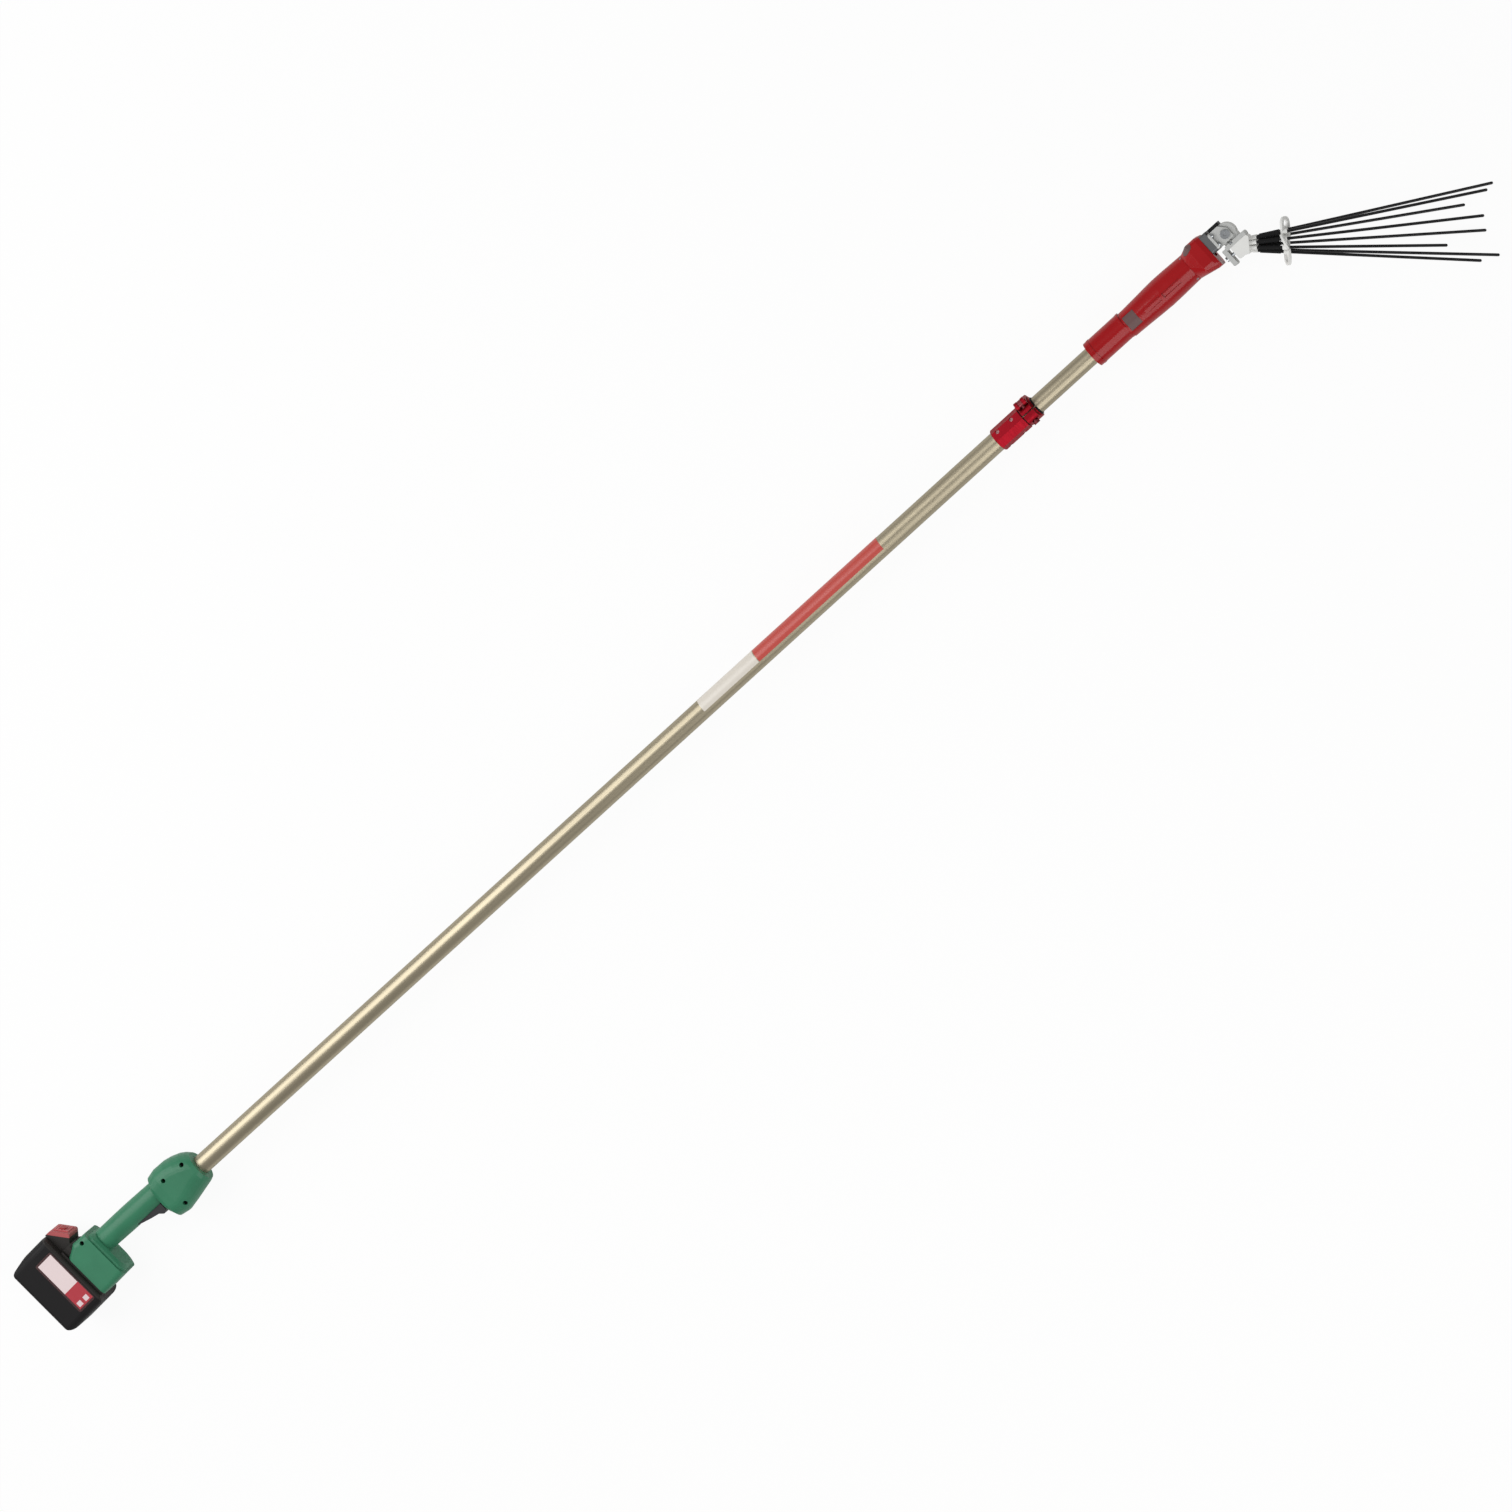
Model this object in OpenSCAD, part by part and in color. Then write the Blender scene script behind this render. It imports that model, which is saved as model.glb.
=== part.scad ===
// Cordless branch comb on a two-stage telescopic pole, lying on its side.
// +X runs along the pole towards the fork, +Y is the side of the battery's release button,
// and the trigger and the fork's bend are on the -Y side. The pole's axis is y = 0, z = 0,
// and x = 0 is the battery pack's outer end face.

/* [Pole] */
// Outside diameter of the outer tube
outer_d = 26; // [24:0.5:30]
// Outside diameter of the inner tube
inner_d = 23; // [20:0.5:23.2]
// Wall of both tubes
tube_wall = 1.25; // [0.8:0.05:1.4]
// Length of outer tube in the open, between the handle and the clamp
open_len = 1413; // [1000:1:1800]
// Length of inner tube in the open, between the clamp and the head
shown_len = 95; // [88:1:160]
// Length of inner tube inside the outer tube
hidden_len = 880; // [860:10:1000]
// How far the inner tube draws out
pole_travel = 760; // [400:10:760]

/* [Battery pack] */
// Depth of the pack from its end face to the face that meets the handle
pack_depth = 67; // [66:1:80]
// Length of the pack along its slide
pack_len = 113; // [113:1:130]
// Width of the pack
pack_w = 76; // [74:1:84]
// Distance from the pole's axis to the pack's middle
pack_off = 11; // [9:0.5:14]
// Wall of the pack's case
pack_wall = 2.5; // [2:0.25:3]
// Depth of the lower case, up to the seam
case_depth = 63; // [60:0.5:63]
// How much the pack narrows towards its end face
pack_taper = 6; // [2:0.5:8]
// Radius of the pack's corners
pack_edge_r = 10; // [6:1:12]
// Diameter of a cell
cell_d = 18.2; // [18:0.1:18.6]
// Length of a cell
cell_len = 65; // [60:1:66]
// Height of the slide rails above the mating face
rail_h = 12; // [10:0.5:14]
// Width of the pack's rail block, between the handle's lips
rail_w = 46; // [42:1:46]
// Height of the deck between the pack and the handle's foot
deck_t = 3; // [2:0.5:5]

/* [Handle] */
// Angle between the battery foot and the pole
foot_tilt = 3; // [0:0.5:6]
// Length of the battery foot
foot_len = 44; // [42:1:60]
// Height of the battery foot
foot_h = 75; // [72:1:84]
// Width of the battery foot
foot_w = 59; // [58:1:72]
// Length of the grip
grip_len = 98; // [96:1:130]
// Diameter of the grip
grip_d = 33; // [31:0.5:38]
// Distance from the pole's axis to the grip's axis
grip_off = 12.5; // [11:0.5:14]
// Length of the front housing
house_len = 68; // [64:1:80]
// Diameter of the front housing's nose
house_d = 43; // [42:1:50]
// Wall of the handle's shells
shell_wall = 2.5; // [2:0.25:3]
// How far the outer tube reaches into the front housing
tube_seat = 46; // [40:1:50]
// Diameter of the handle's screws
screw_d = 4; // [3:0.25:4.5]
// Swing of the trigger
trigger_swing = 8; // [4:1:8]

/* [Clamp] */
// Distance across the flats of the clamp's eight-sided sleeve
sleeve_af = 29; // [28.6:0.2:34]
// Length of the sleeve
sleeve_len = 44; // [40:1:60]
// Length of the split collar
collar_len = 19; // [16:0.5:24]
// Outside diameter of the split collar
collar_d = 30; // [28.5:0.5:34]
// Width of the slits
slit = 1.6; // [1.2:0.1:3]
// Diameter of the clamp's bolt
bolt_d = 5; // [4:0.5:6]
// Wall of the plastic bush between collar and inner tube
bush_wall = 1.2; // [1:0.05:1.4]
// Thickness of the lever's arm
lever_t = 3.6; // [3:0.2:5]

/* [Head] */
// Length of the socket
socket_len = 56; // [50:1:70]
// Diameter of the socket
socket_d = 35; // [32:0.5:38]
// Length of the motor section
body_len = 107.5; // [104:0.5:120]
// Diameter of the motor section
body_d = 40.5; // [40.5:0.5:46]
// Length of the nose
nose_len = 32.5; // [30:0.5:40]
// Size of the nose across its front
nose_w = 48; // [46:1:54]
// Distance from the pole's axis to the motor's axis
head_off = 1.5; // [0:0.5:3]
// Wall of the head's housing
head_wall = 2.2; // [2:0.1:2.2]
// Thickness of the front plate
plate_t = 9; // [6:0.5:12]

/* [Gearbox] */
// Gear module
gear_mod = 0.6; // [0.5:0.02:0.62]
// Teeth of the sun gear
sun_teeth = 9; // [9:3:15]
// Teeth of each planet
planet_teeth = 18; // [15:3:21]
// Face width of the gears
gear_face = 8; // [6:0.5:9]
// Throw of the crank
crank_throw = 4; // [3:0.25:5]

/* [Fork] */
// Distance from the front plate to the pivot
pivot_ahead = 17.5; // [17:0.5:20]
// Diameter of the pivot pin
pivot_d = 8; // [6:0.5:9]
// Gap between the clevis cheeks
clevis_gap = 20; // [18:0.5:24]
// Thickness of a clevis cheek
cheek_t = 4; // [3:0.5:6]
// Angle between the pole and the fork
fork_bend = 37; // [30:1:45]
// Swing of the fork to each side
fork_swing = 9; // [4:1:9]
// Number of rods
rod_count = 8; // [6:1:8]
// Diameter of a rod
rod_d = 3.7; // [3.5:0.1:4.6]
// Radius of the ring of rods where they leave the block
ring_r = 7.6; // [7.4:0.1:9]
// Angle between a rod and the fork's axis
rod_splay = 7.8; // [4:0.2:9]
// Turn of the first rod round the fork's axis
rod_phase = 15; // [0:1:44]
// Length of the rods outside the block, in turn round the ring
rod_lens = [290, 295, 300, 262, 285, 300, 280, 242];
// Distance from the block to the spreader's disc
disc_ahead = 43; // [38:1:60]
// Diameter of the spreader's disc
disc_d = 60; // [50:1:70]
// Thickness of the spreader's disc
disc_t = 2.8; // [2:0.1:3]

/* [Fits] */
// Radial clearance of a pin that turns
run_gap = 0.05; // [0.03:0.01:0.08]
// Clearance between parts that slide past each other
slide_gap = 0.3; // [0.2:0.05:0.5]
// Clearance round a piece that is held still
seat_gap = 0.1; // [0.05:0.05:0.2]

/* [Hidden] */
$fn = 64;

far = 400; // longer than any piece that it cuts
cut = 1; // how far a cutter runs past the face it opens
big = 200; // half-space cutter

// Colours
green = "#3f8a68";
gold = "#b09c72";
red = "#b3161d";
anodised = "#c23a34";
black = "#232325";
dark = "#3a3a3c";
steel = "#b9bcc0";
white = "#e8e8e6";
copper = "#b8733a";
board = "#2d6b46";

// Places along the pole
x_foot = pack_depth + deck_t;
x_grip = x_foot + foot_len;
x_house = x_grip + grip_len;
x_front = x_house + house_len;
x_tube = x_front - tube_seat;
x_clamp = x_front + open_len;
x_collar = x_clamp + sleeve_len + slit;
x_clamp_end = x_collar + collar_len;
x_head = x_clamp_end + shown_len;
x_socket_end = x_head + socket_len;
x_nose = x_socket_end + body_len;
x_plate = x_nose + nose_len;
x_clevis = x_plate + plate_t;
x_pivot = x_clevis + pivot_ahead;

// ---------- Shared shapes ----------

function unit(v) = v / norm(v);
function turned(p, a) = [p.x * cos(a) - p.y * sin(a), p.x * sin(a) + p.y * cos(a)];

// One corner b of an outline, between a and c, as an arc of b's own radius
function corner(a, b, c, n) =
    let (at = [b.x, b.y], u = unit([a.x, a.y] - at), v = unit([c.x, c.y] - at), half = acos(u * v) / 2)
    b[2] == 0 ? [at] :
    let (mid = at + unit(u + v) * b[2] / sin(half), from = at + u * b[2] / tan(half) - mid,
        turn = (u.x * v.y - u.y * v.x > 0 ? -1 : 1) * (180 - 2 * half))
    [for (i = [0 : n]) mid + turned(from, turn * i / n)];

// An outline of [x, y, radius] corners with every corner rounded
function rounded(p, n = 6) =
    [for (i = [0 : len(p) - 1]) each corner(p[(i + len(p) - 1) % len(p)], p[i], p[(i + 1) % len(p)], n)];

// A rectangle from [x0, y0] to [x1, y1] with corners of radius r
function rect(x0, y0, x1, y1, r, n = 6) = rounded([[x0, y0, r], [x1, y0, r], [x1, y1, r], [x0, y1, r]], n);

// Children drawn along local Z are laid along +X or +Y from the given point
module along_x(p) { translate(p) rotate([0, 90, 0]) children(); }
module along_y(p) { translate(p) rotate([-90, 0, 0]) children(); }

// A box between two corners
module box(a, b) { translate(a) cube(b - a); }

// Outline in the XY plane, extruded from z0 to z1
module plate_z(p, z0, z1) { translate([0, 0, z0]) linear_extrude(z1 - z0) polygon(p); }

// Outline given as [z, y], extruded from x0 to x1
module plate_x(p, x0, x1) { translate([x0, 0, 0]) rotate([0, 90, 0]) mirror([1, 0, 0]) linear_extrude(x1 - x0) polygon(p); }

// Outline given as [x, z], extruded from y0 to y1
module plate_y(p, y0, y1) { translate([0, y1, 0]) rotate([90, 0, 0]) linear_extrude(y1 - y0) polygon(p); }

// Ring along X
module ring_x(x0, x1, r_out, r_in, y = 0, z = 0) {
    difference() {
        along_x([x0, y, z]) cylinder(h = x1 - x0, r = r_out);
        along_x([x0 - cut, y, z]) cylinder(h = x1 - x0 + 2 * cut, r = r_in);
    }
}

// A round wire swept along a list of points: rings of points joined by quads
module wire(path, d, sides = 6) {
    last = len(path) - 1;
    function frame_at(i) =
        let (t = unit(path[min(i + 1, last)] - path[max(i - 1, 0)]),
            side = unit(cross(t, abs(t.z) < 0.9 ? [0, 0, 1] : [0, 1, 0])))
        [side, cross(t, side)];
    rings = [for (i = [0 : last]) let (f = frame_at(i)) for (k = [0 : sides - 1])
        path[i] + d / 2 * (cos(360 * k / sides) * f[0] + sin(360 * k / sides) * f[1])];
    walls = [for (i = [0 : last - 1], k = [0 : sides - 1])
        let (a = i * sides + k, b = i * sides + (k + 1) % sides) [a, b, b + sides, a + sides]];
    ends = [[for (k = [sides - 1 : -1 : 0]) k], [for (k = [0 : sides - 1]) last * sides + k]];
    polyhedron(rings, concat(walls, ends));
}

// A compression spring along local Z, closed flat at both ends
module spring(d, wire_d, h, turns, steps = 12) {
    wire([for (i = [0 : turns * steps]) let (a = 360 * i / steps)
        [(d - wire_d) / 2 * cos(a), (d - wire_d) / 2 * sin(a), wire_d / 2 + (h - wire_d) * i / (turns * steps)]], wire_d);
}

// Socket-head screw along local Z, its head at z = 0 and its shank below
module cap_screw(d, shank) {
    head_h = d * 0.7;
    difference() {
        union() {
            cylinder(h = head_h, r = d * 0.85);
            translate([0, 0, -shank]) cylinder(h = shank, r = d / 2);
        }
        translate([0, 0, head_h / 2]) cylinder(h = head_h, r = d * 0.42, $fn = 6);
    }
}

// ---------- Battery pack ----------

y_pack_lo = pack_off - pack_len / 2;
y_pack_hi = pack_off + pack_len / 2;

// What is fixed to the tilted battery foot is drawn square and turned about the foot's root
module foot_frame() {
    translate([pack_depth / cos(foot_tilt), 0, 0]) rotate([0, 0, foot_tilt]) translate([-pack_depth, 0, 0]) children();
}

pack_slant = 30; // over this depth the pack narrows to its end face

// The pack's outer form, shrunk by inset
module pack_form(inset) {
    x0 = inset;
    x1 = pack_depth - inset;
    y0 = y_pack_lo + inset;
    y1 = y_pack_hi - inset;
    z1 = pack_w / 2 - inset;
    r = pack_edge_r - inset;
    intersection() {
        plate_z(rounded([[x0, y0, pack_edge_r + 4 - inset], [x1, y0, r], [x1, y1, r / 2],
            [x0 + pack_slant, y1, 25 - inset], [x0, y1 - pack_taper, r]]), -z1, z1);
        plate_x(rect(-z1, y0, z1, y1, r), x0, x1);
        plate_y(rect(x0, -z1, x1, z1, r / 2), y0, y1);
    }
}

// The four screws that hold the pack's halves together stand in its corners, clear of the cells
pack_screw_r = 1.5;
pack_boss_r = 2.9;
pack_head_r = 2.8;
pack_head_x = 9; // the screw heads lie this deep under the end face
x_pillar = case_depth - 10; // where the case's bosses meet the pillars of the upper half
screw_in_lo = 4.8; // from the pack's lower end
screw_in_hi = 8.8; // from its upper end, which slants
screw_in_z = 7; // from its sides
pack_screw_spots = [for (y = [y_pack_lo + screw_in_lo, y_pack_hi - screw_in_hi],
    z = [-1, 1] * (pack_w / 2 - screw_in_z)) [y, z]];

module pack_case() {
    color(black) foot_frame() difference() {
        union() {
            difference() {
                pack_form(0);
                pack_form(pack_wall);
            }
            intersection() {
                pack_form(pack_wall / 2);
                for (p = pack_screw_spots) along_x([0, p.x, p.y]) {
                    cylinder(h = x_pillar, r = pack_boss_r);
                    cylinder(h = pack_head_x + 2, r = pack_head_r + 0.8);
                }
            }
            cell_ribs();
        }
        box([case_depth, -big, -big], [big, big, big]);
        for (p = pack_screw_spots) {
            along_x([-cut, p.x, p.y]) cylinder(h = far, r = pack_screw_r + seat_gap);
            along_x([-cut, p.x, p.y]) cylinder(h = pack_head_x + cut, r = pack_head_r + seat_gap);
        }
    }
}

// Two low ribs on the floor of the case carry the cell holders
module cell_ribs() {
    for (z = [-1, 1] * holder_z) box([pack_wall / 2, y_cells - cells_half + cell_d, z - holder_t / 2],
        [holder_x0, y_cells + cells_half - cell_d, z + holder_t / 2]);
}

pack_screw_end = x_pillar + 8; // the screws bite this far into the upper half
module pack_screws() {
    color(steel) foot_frame() for (p = pack_screw_spots) {
        along_x([pack_head_x, p.x, p.y]) cylinder(h = pack_screw_end - pack_head_x, r = pack_screw_r);
        difference() {
            along_x([pack_head_x - 2, p.x, p.y]) cylinder(h = 2, r = pack_head_r);
            along_x([pack_head_x - 2 - cut, p.x, p.y]) cylinder(h = 1 + cut, r = 1, $fn = 6);
        }
    }
}

// Cells stand side to side in two rows, held by a pierced plate at each end
cell_rows = 2;
cell_pitch = cell_d + 0.2;
cell_cols = floor((pack_len - 20) / cell_pitch);
y_cells = pack_off - 2; // the rows sit below the middle, clear of the slanted end
cells_half = (cell_cols - 1) * cell_pitch / 2 + cell_d / 2;
holder_t = 4;
holder_z = 25;
holder_x0 = pack_wall + 0.8;
holder_x1 = 43;
x_row0 = holder_x0 + cell_d / 2 + 0.6;
cell_spots = [for (i = [0 : cell_rows - 1], j = [0 : cell_cols - 1])
    [x_row0 + i * cell_pitch, y_cells + (j - (cell_cols - 1) / 2) * cell_pitch]];

module battery_cells() {
    color("#4a78a8") foot_frame() for (p = cell_spots) translate([p.x, p.y, -cell_len / 2]) {
        cylinder(h = cell_len, r = cell_d / 2);
        cylinder(h = cell_len + 1, r = cell_d / 5);
    }
}

module cell_holders() {
    color(dark) foot_frame() for (side = [-1, 1]) difference() {
        plate_z(rect(holder_x0, y_cells - cells_half - 0.6, holder_x1, y_cells + cells_half + 0.6, 4),
            side * holder_z - holder_t / 2, side * holder_z + holder_t / 2);
        for (p = cell_spots) translate([p.x, p.y, side * holder_z - holder_t])
            cylinder(h = 2 * holder_t, r = cell_d / 2 + run_gap);
    }
}

bms_t = 1.6;
bms_half = 34;
module bms_board() {
    color(board) foot_frame() {
        box([holder_x1, y_cells - bms_half, -holder_z - holder_t / 2],
            [holder_x1 + bms_t, y_cells + bms_half, holder_z + holder_t / 2]);
        for (y = [-18, -6, 18]) box([holder_x1 + bms_t, y_cells + y, 19], [holder_x1 + bms_t + 2, y_cells + y + 7, 26]);
    }
}

// Rail block: a waist between the handle's lips, and a wider head above them
lip_t = 5.6;
rail_lip = 3;
rail_y0 = -20; // the rails' leading end, next to the terminal block
rail_y1 = 37; // where they run into the latch tower
rail_skin = 2.5;
tower_z = 20; // half width of the latch tower
tower_tip = [x_foot + 21, y_pack_hi - 19.5];
tower_top = [x_foot + 5, y_pack_hi + 1];
slope = unit(tower_tip - tower_top); // runs down the tower's slanted face
button_mid = (tower_tip + tower_top) / 2;
button_len = 20;
button_w = 26;
button_t = 6;
button_proud = 1.4;
button_travel = 3;
latch_spring_d = 6;
latch_spring_len = 8;
slot_zs = [-14, 0, 14];
slot_w = 3.4;
slot_len = 16;
hook_y = 26;
hook_len = 6;
hook_w = 12;

// Local x runs down the slanted face and local y out of it, from the button's middle
module on_slope() {
    translate([button_mid.x, button_mid.y, 0]) rotate([0, 0, atan2(slope.y, slope.x)]) children();
}

module pack_top() {
    color(black) foot_frame() difference() {
        union() {
            difference() {
                pack_form(0);
                pack_form(pack_wall);
                box([-big, -big, -big], [case_depth, big, big]);
            }
            plate_x(rect(-z_foot + 1, foot_mid - y_foot + 1, z_foot - 1, rail_y1 + cut, 5), pack_depth - cut, x_foot);
            box([x_foot - cut, rail_y0, -rail_w / 2], [x_foot + rail_h, rail_y1 + cut, rail_w / 2]);
            box([x_foot + lip_t + slide_gap, rail_y0, -rail_w / 2 - rail_lip],
                [x_foot + rail_h, rail_y1, rail_w / 2 + rail_lip]);
            plate_z(rounded([[pack_depth - cut, rail_y1 + 1, 0], [x_foot + rail_h, rail_y1 + 1, 0],
                [tower_tip.x, tower_tip.y, 3], [tower_top.x, tower_top.y, 5], [pack_depth - cut, tower_top.y, 0]], 4),
                -tower_z, tower_z);
            intersection() {
                for (p = pack_screw_spots) along_x([x_pillar, p.x, p.y]) cylinder(h = far, r = pack_boss_r);
                pack_form(pack_wall / 2);
                union() {
                    pack_form(pack_wall + seat_gap);
                    box([case_depth, -big, -big], [big, big, big]);
                }
            }
        }
        box([case_depth - cut, rail_y0 + rail_skin, -rail_w / 2 + rail_skin],
            [x_foot + rail_h - rail_skin, hook_y - hook_len / 2 - rail_skin, rail_w / 2 - rail_skin]);
        for (z = slot_zs) box([x_foot + 2, rail_y0 - cut, z - slot_w / 2],
            [x_foot + rail_h + cut, rail_y0 + slot_len, z + slot_w / 2]);
        box([case_depth - cut, hook_y - hook_len / 2 - slide_gap, -hook_w / 2 - slide_gap],
            [x_foot + rail_h + cut, hook_y + hook_len / 2 + slide_gap, hook_w / 2 + slide_gap]);
        on_slope() {
            box([-button_len / 2 - slide_gap, -button_t - button_travel - slide_gap, -button_w / 2 - slide_gap],
                [button_len / 2 + slide_gap, 2 * button_t, button_w / 2 + slide_gap]);
            along_y([0, -button_t - latch_spring_len, 0])
                cylinder(h = latch_spring_len, r = latch_spring_d / 2 + slide_gap);
        }
        for (p = pack_screw_spots) along_x([0, p.x, p.y])
            cylinder(h = pack_screw_end + 1, r = pack_screw_r + seat_gap);
    }
}

module release_button() {
    color("#b02a2c") foot_frame() on_slope() difference() {
        plate_z(rounded([[-button_len / 2, -button_t, 0], [button_len / 2, -button_t, 0],
            [button_len / 2, button_proud, 1.2], [-button_len / 2, button_proud, 1.2]]), -button_w / 2, button_w / 2);
        for (i = [-2 : 2]) box([3.5 * i - 0.8, button_proud - 0.5, -button_w / 2 + 2.5],
            [3.5 * i + 0.8, button_proud + cut, button_w / 2 - 2.5]);
    }
}

module latch_hook() {
    nose = 1.6;
    root = case_depth - 2;
    top = x_foot + rail_h + slide_gap / 2;
    color(dark) foot_frame() plate_z([[root, hook_y - hook_len / 2], [top, hook_y - hook_len / 2],
        [top, hook_y - hook_len / 2 + nose], [top - 4, hook_y + hook_len / 2],
        [root, hook_y + hook_len / 2]], -hook_w / 2, hook_w / 2);
}

module latch_spring() {
    color(steel) foot_frame() on_slope() along_y([0, -button_t - latch_spring_len, 0])
        spring(latch_spring_d, 0.8, latch_spring_len, 5);
}

// Pairs of sprung leaves that grip the handle's blades, standing on the board
blade_t = 0.8;
blade_len = 12;
leaf_t = 0.5;
leaf_gap = 0.2;
module pack_contacts() {
    color(copper) foot_frame() for (z = slot_zs, s = [-1, 1]) {
        mid = z + s * (blade_t / 2 + leaf_gap + leaf_t / 2);
        box([holder_x1 + bms_t, rail_y0 + rail_skin + slide_gap, mid - leaf_t / 2],
            [x_foot + rail_h - 2, rail_y0 + slot_len - 2, mid + leaf_t / 2]);
    }
}

label_t = 0.4;
module pack_label() {
    color(white) foot_frame() plate_z(rect(case_depth - 30.5, pack_off - 46, case_depth - 1, pack_off + 37.5, 3),
        pack_w / 2, pack_w / 2 + label_t);
}

// ---------- Handle ----------

foot_mid = -2.5; // height of the foot's middle in its own frame
y_foot = foot_h / 2;
z_foot = foot_w / 2;
x_roof = x_foot + rail_h + 2.6; // inner face of the wall over the rails
x_step = x_grip - 6; // the foot steps in here, next to the grip

// A thin slice of a shell's form: a rounded rectangle in the YZ plane, shrunk by inset
module slice(x, y0, y1, w, r, inset) {
    plate_x(rect(-w / 2 + inset, y0 + inset, w / 2 - inset, y1 - inset, max(r - inset, 1), 8), x, x + 0.1);
}

module foot_form(inset) {
    translate([0, foot_mid, 0]) {
        hull() {
            slice(inset > 0 ? x_roof : x_foot + seat_gap, -y_foot, y_foot - 9, foot_w, 7, inset);
            slice(x_foot + 17, -y_foot, y_foot, foot_w, 7, inset);
            slice(x_step - inset, -y_foot, y_foot - 1, foot_w, 9, inset);
        }
        hull() {
            slice(x_step - 10, -y_foot + 1.3, y_foot - 3, foot_w - 5.2, 9, inset);
            slice(x_grip - 3 - inset, -y_foot + 3, y_foot - 7, foot_w - 9, 11, inset);
            slice(x_grip - 0.1 - inset, -y_foot + 8, y_foot - 11, foot_w - 20, 12, inset);
        }
    }
}

// The front housing as [place along it, top, bottom, width, corner radius], from its rear to its nose
house_form = [[0, 27, -22, 42, 18], [0.07, 34.5, -31, 48, 20], [0.25, 37.2, -33, 50, 20], [0.48, 36.9, -30, 50, 20],
    [0.65, 34.6, -26.3, 49, 21], [0.82, 30.7, -24.8, 47.5, 22], [0.92, 26.5, -23.6, 46, 22],
    [1, house_d / 2, -house_d / 2, house_d, house_d / 2]];
module front_form(inset) {
    hull() for (f = house_form) {
        x = x_house + f[0] * (house_len - 0.1);
        slice(min(max(x, x_house + inset), x_front - 0.1 - inset), f[2], f[1], f[3], f[4], inset);
    }
}

// A grip that swells a little in the middle
module grip_form(inset) {
    swell = 0.7;
    over = 8; // how far the grip's ends run into its neighbours
    n = 8;
    len = grip_len + 2 * over;
    along_x([x_grip - over, grip_off, 0]) rotate_extrude() polygon(concat([[0, 0]],
        [for (i = [0 : n]) [grip_d / 2 - inset - swell * (1 + cos(360 * i / n)) / 2, len * i / n]], [[0, len]]));
}

// Screw bosses as [x, y]: one in the foot, three round the tube
foot_screws = [[x_roof + 13.6, y_foot + foot_mid - 8]];
front_screws = [[x_house + 24, 17.5], [x_house + 56, 17], [x_house + 25, -22.5]];
boss_r = screw_d / 2 + 2.2;
screw_head_r = screw_d / 2 + 0.9;
foot_seat = 22; // height of the screws' heads above the joint, in the foot and in the front housing
front_seat = 14;
module bosses(spots) {
    for (p = spots) translate([p.x, p.y, -far / 2]) cylinder(h = far, r = boss_r);
}
module screw_holes(spots, seat) {
    for (p = spots) translate([p.x, p.y, 0]) {
        translate([0, 0, -seat]) cylinder(h = 2 * seat, r = screw_d / 2 + seat_gap);
        translate([0, 0, seat]) cylinder(h = far, r = screw_head_r + seat_gap);
    }
}

saddle_t = 3;
saddle_xs = [x_tube + 3, x_front - 10];

trigger_w = 16;
trigger_len = 42;
trigger_x1 = x_house - 6;
trigger_x0 = trigger_x1 - trigger_len;
trigger_y = 1; // top of the trigger
trigger_pivot = [trigger_x0 + 5, 2.5];
trigger_pin_d = 3;
trigger_hub = 4.2;
pin_reach = 12;

switch_x0 = trigger_x0 + 18;
switch_size = [28, 14, 13];
switch_y0 = 8;
plunger_x = switch_x0 + 16;
plunger_d = 5;
plunger_in = 7;

board_x = x_roof + 3;
board_t = 1.6;

channel_y0 = -30; // end wall of the channel for the pack's rails

// Both shells of the handle in one piece, before they are parted at z = 0
module handle_solid() {
    difference() {
        union() {
            foot_frame() foot_form(0);
            grip_form(0);
            front_form(0);
        }
        difference() {
            union() {
                foot_frame() foot_form(shell_wall);
                grip_form(shell_wall + 0.5);
                front_form(shell_wall);
            }
            foot_frame() {
                bosses(foot_screws);
                for (y = [-19, 14]) box([x_roof - cut, y, -far], [board_x, y + 3, far]);
            }
            bosses(front_screws);
            for (x = saddle_xs) box([x, -far, -far], [x + saddle_t, 16, far]);
            for (x = [switch_x0 + 2, switch_x0 + switch_size.x - 5])
                box([x, switch_y0 + 6, -far], [x + 3, far, far]);
        }
        foot_frame() {
            box([x_foot - cut, channel_y0, -rail_w / 2 - slide_gap],
                [x_foot + rail_h + slide_gap, far, rail_w / 2 + slide_gap]);
            box([x_foot + lip_t, channel_y0, -rail_w / 2 - rail_lip - slide_gap],
                [x_foot + rail_h + slide_gap, far, rail_w / 2 + rail_lip + slide_gap]);
            box([x_roof - 4, -28, -18], [x_roof + cut, -22, 18]);
            screw_holes(foot_screws, foot_seat);
        }
        screw_holes(front_screws, front_seat);
        along_x([x_tube, 0, 0]) cylinder(h = far, r = outer_d / 2 + seat_gap);
        box([switch_x0 - seat_gap, switch_y0 - seat_gap, -switch_size.z / 2 - seat_gap],
            [switch_x0 + switch_size.x + seat_gap, switch_y0 + switch_size.y + seat_gap, switch_size.z / 2 + seat_gap]);
        box([trigger_x0 - 0.6, -far, -trigger_w / 2 - slide_gap],
            [trigger_x1 + 2.4, grip_off - 5, trigger_w / 2 + slide_gap]);
        translate([trigger_pivot.x, trigger_pivot.y, -pin_reach])
            cylinder(h = 2 * pin_reach, r = trigger_pin_d / 2 + seat_gap);
    }
}

module handle_shell_right() {
    color(green) intersection() {
        handle_solid();
        box([-big, -big, 0], [far, big, big]);
    }
}

module handle_shell_left() {
    color(green) intersection() {
        handle_solid();
        box([-big, -big, -big], [far, big, 0]);
    }
}

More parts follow.
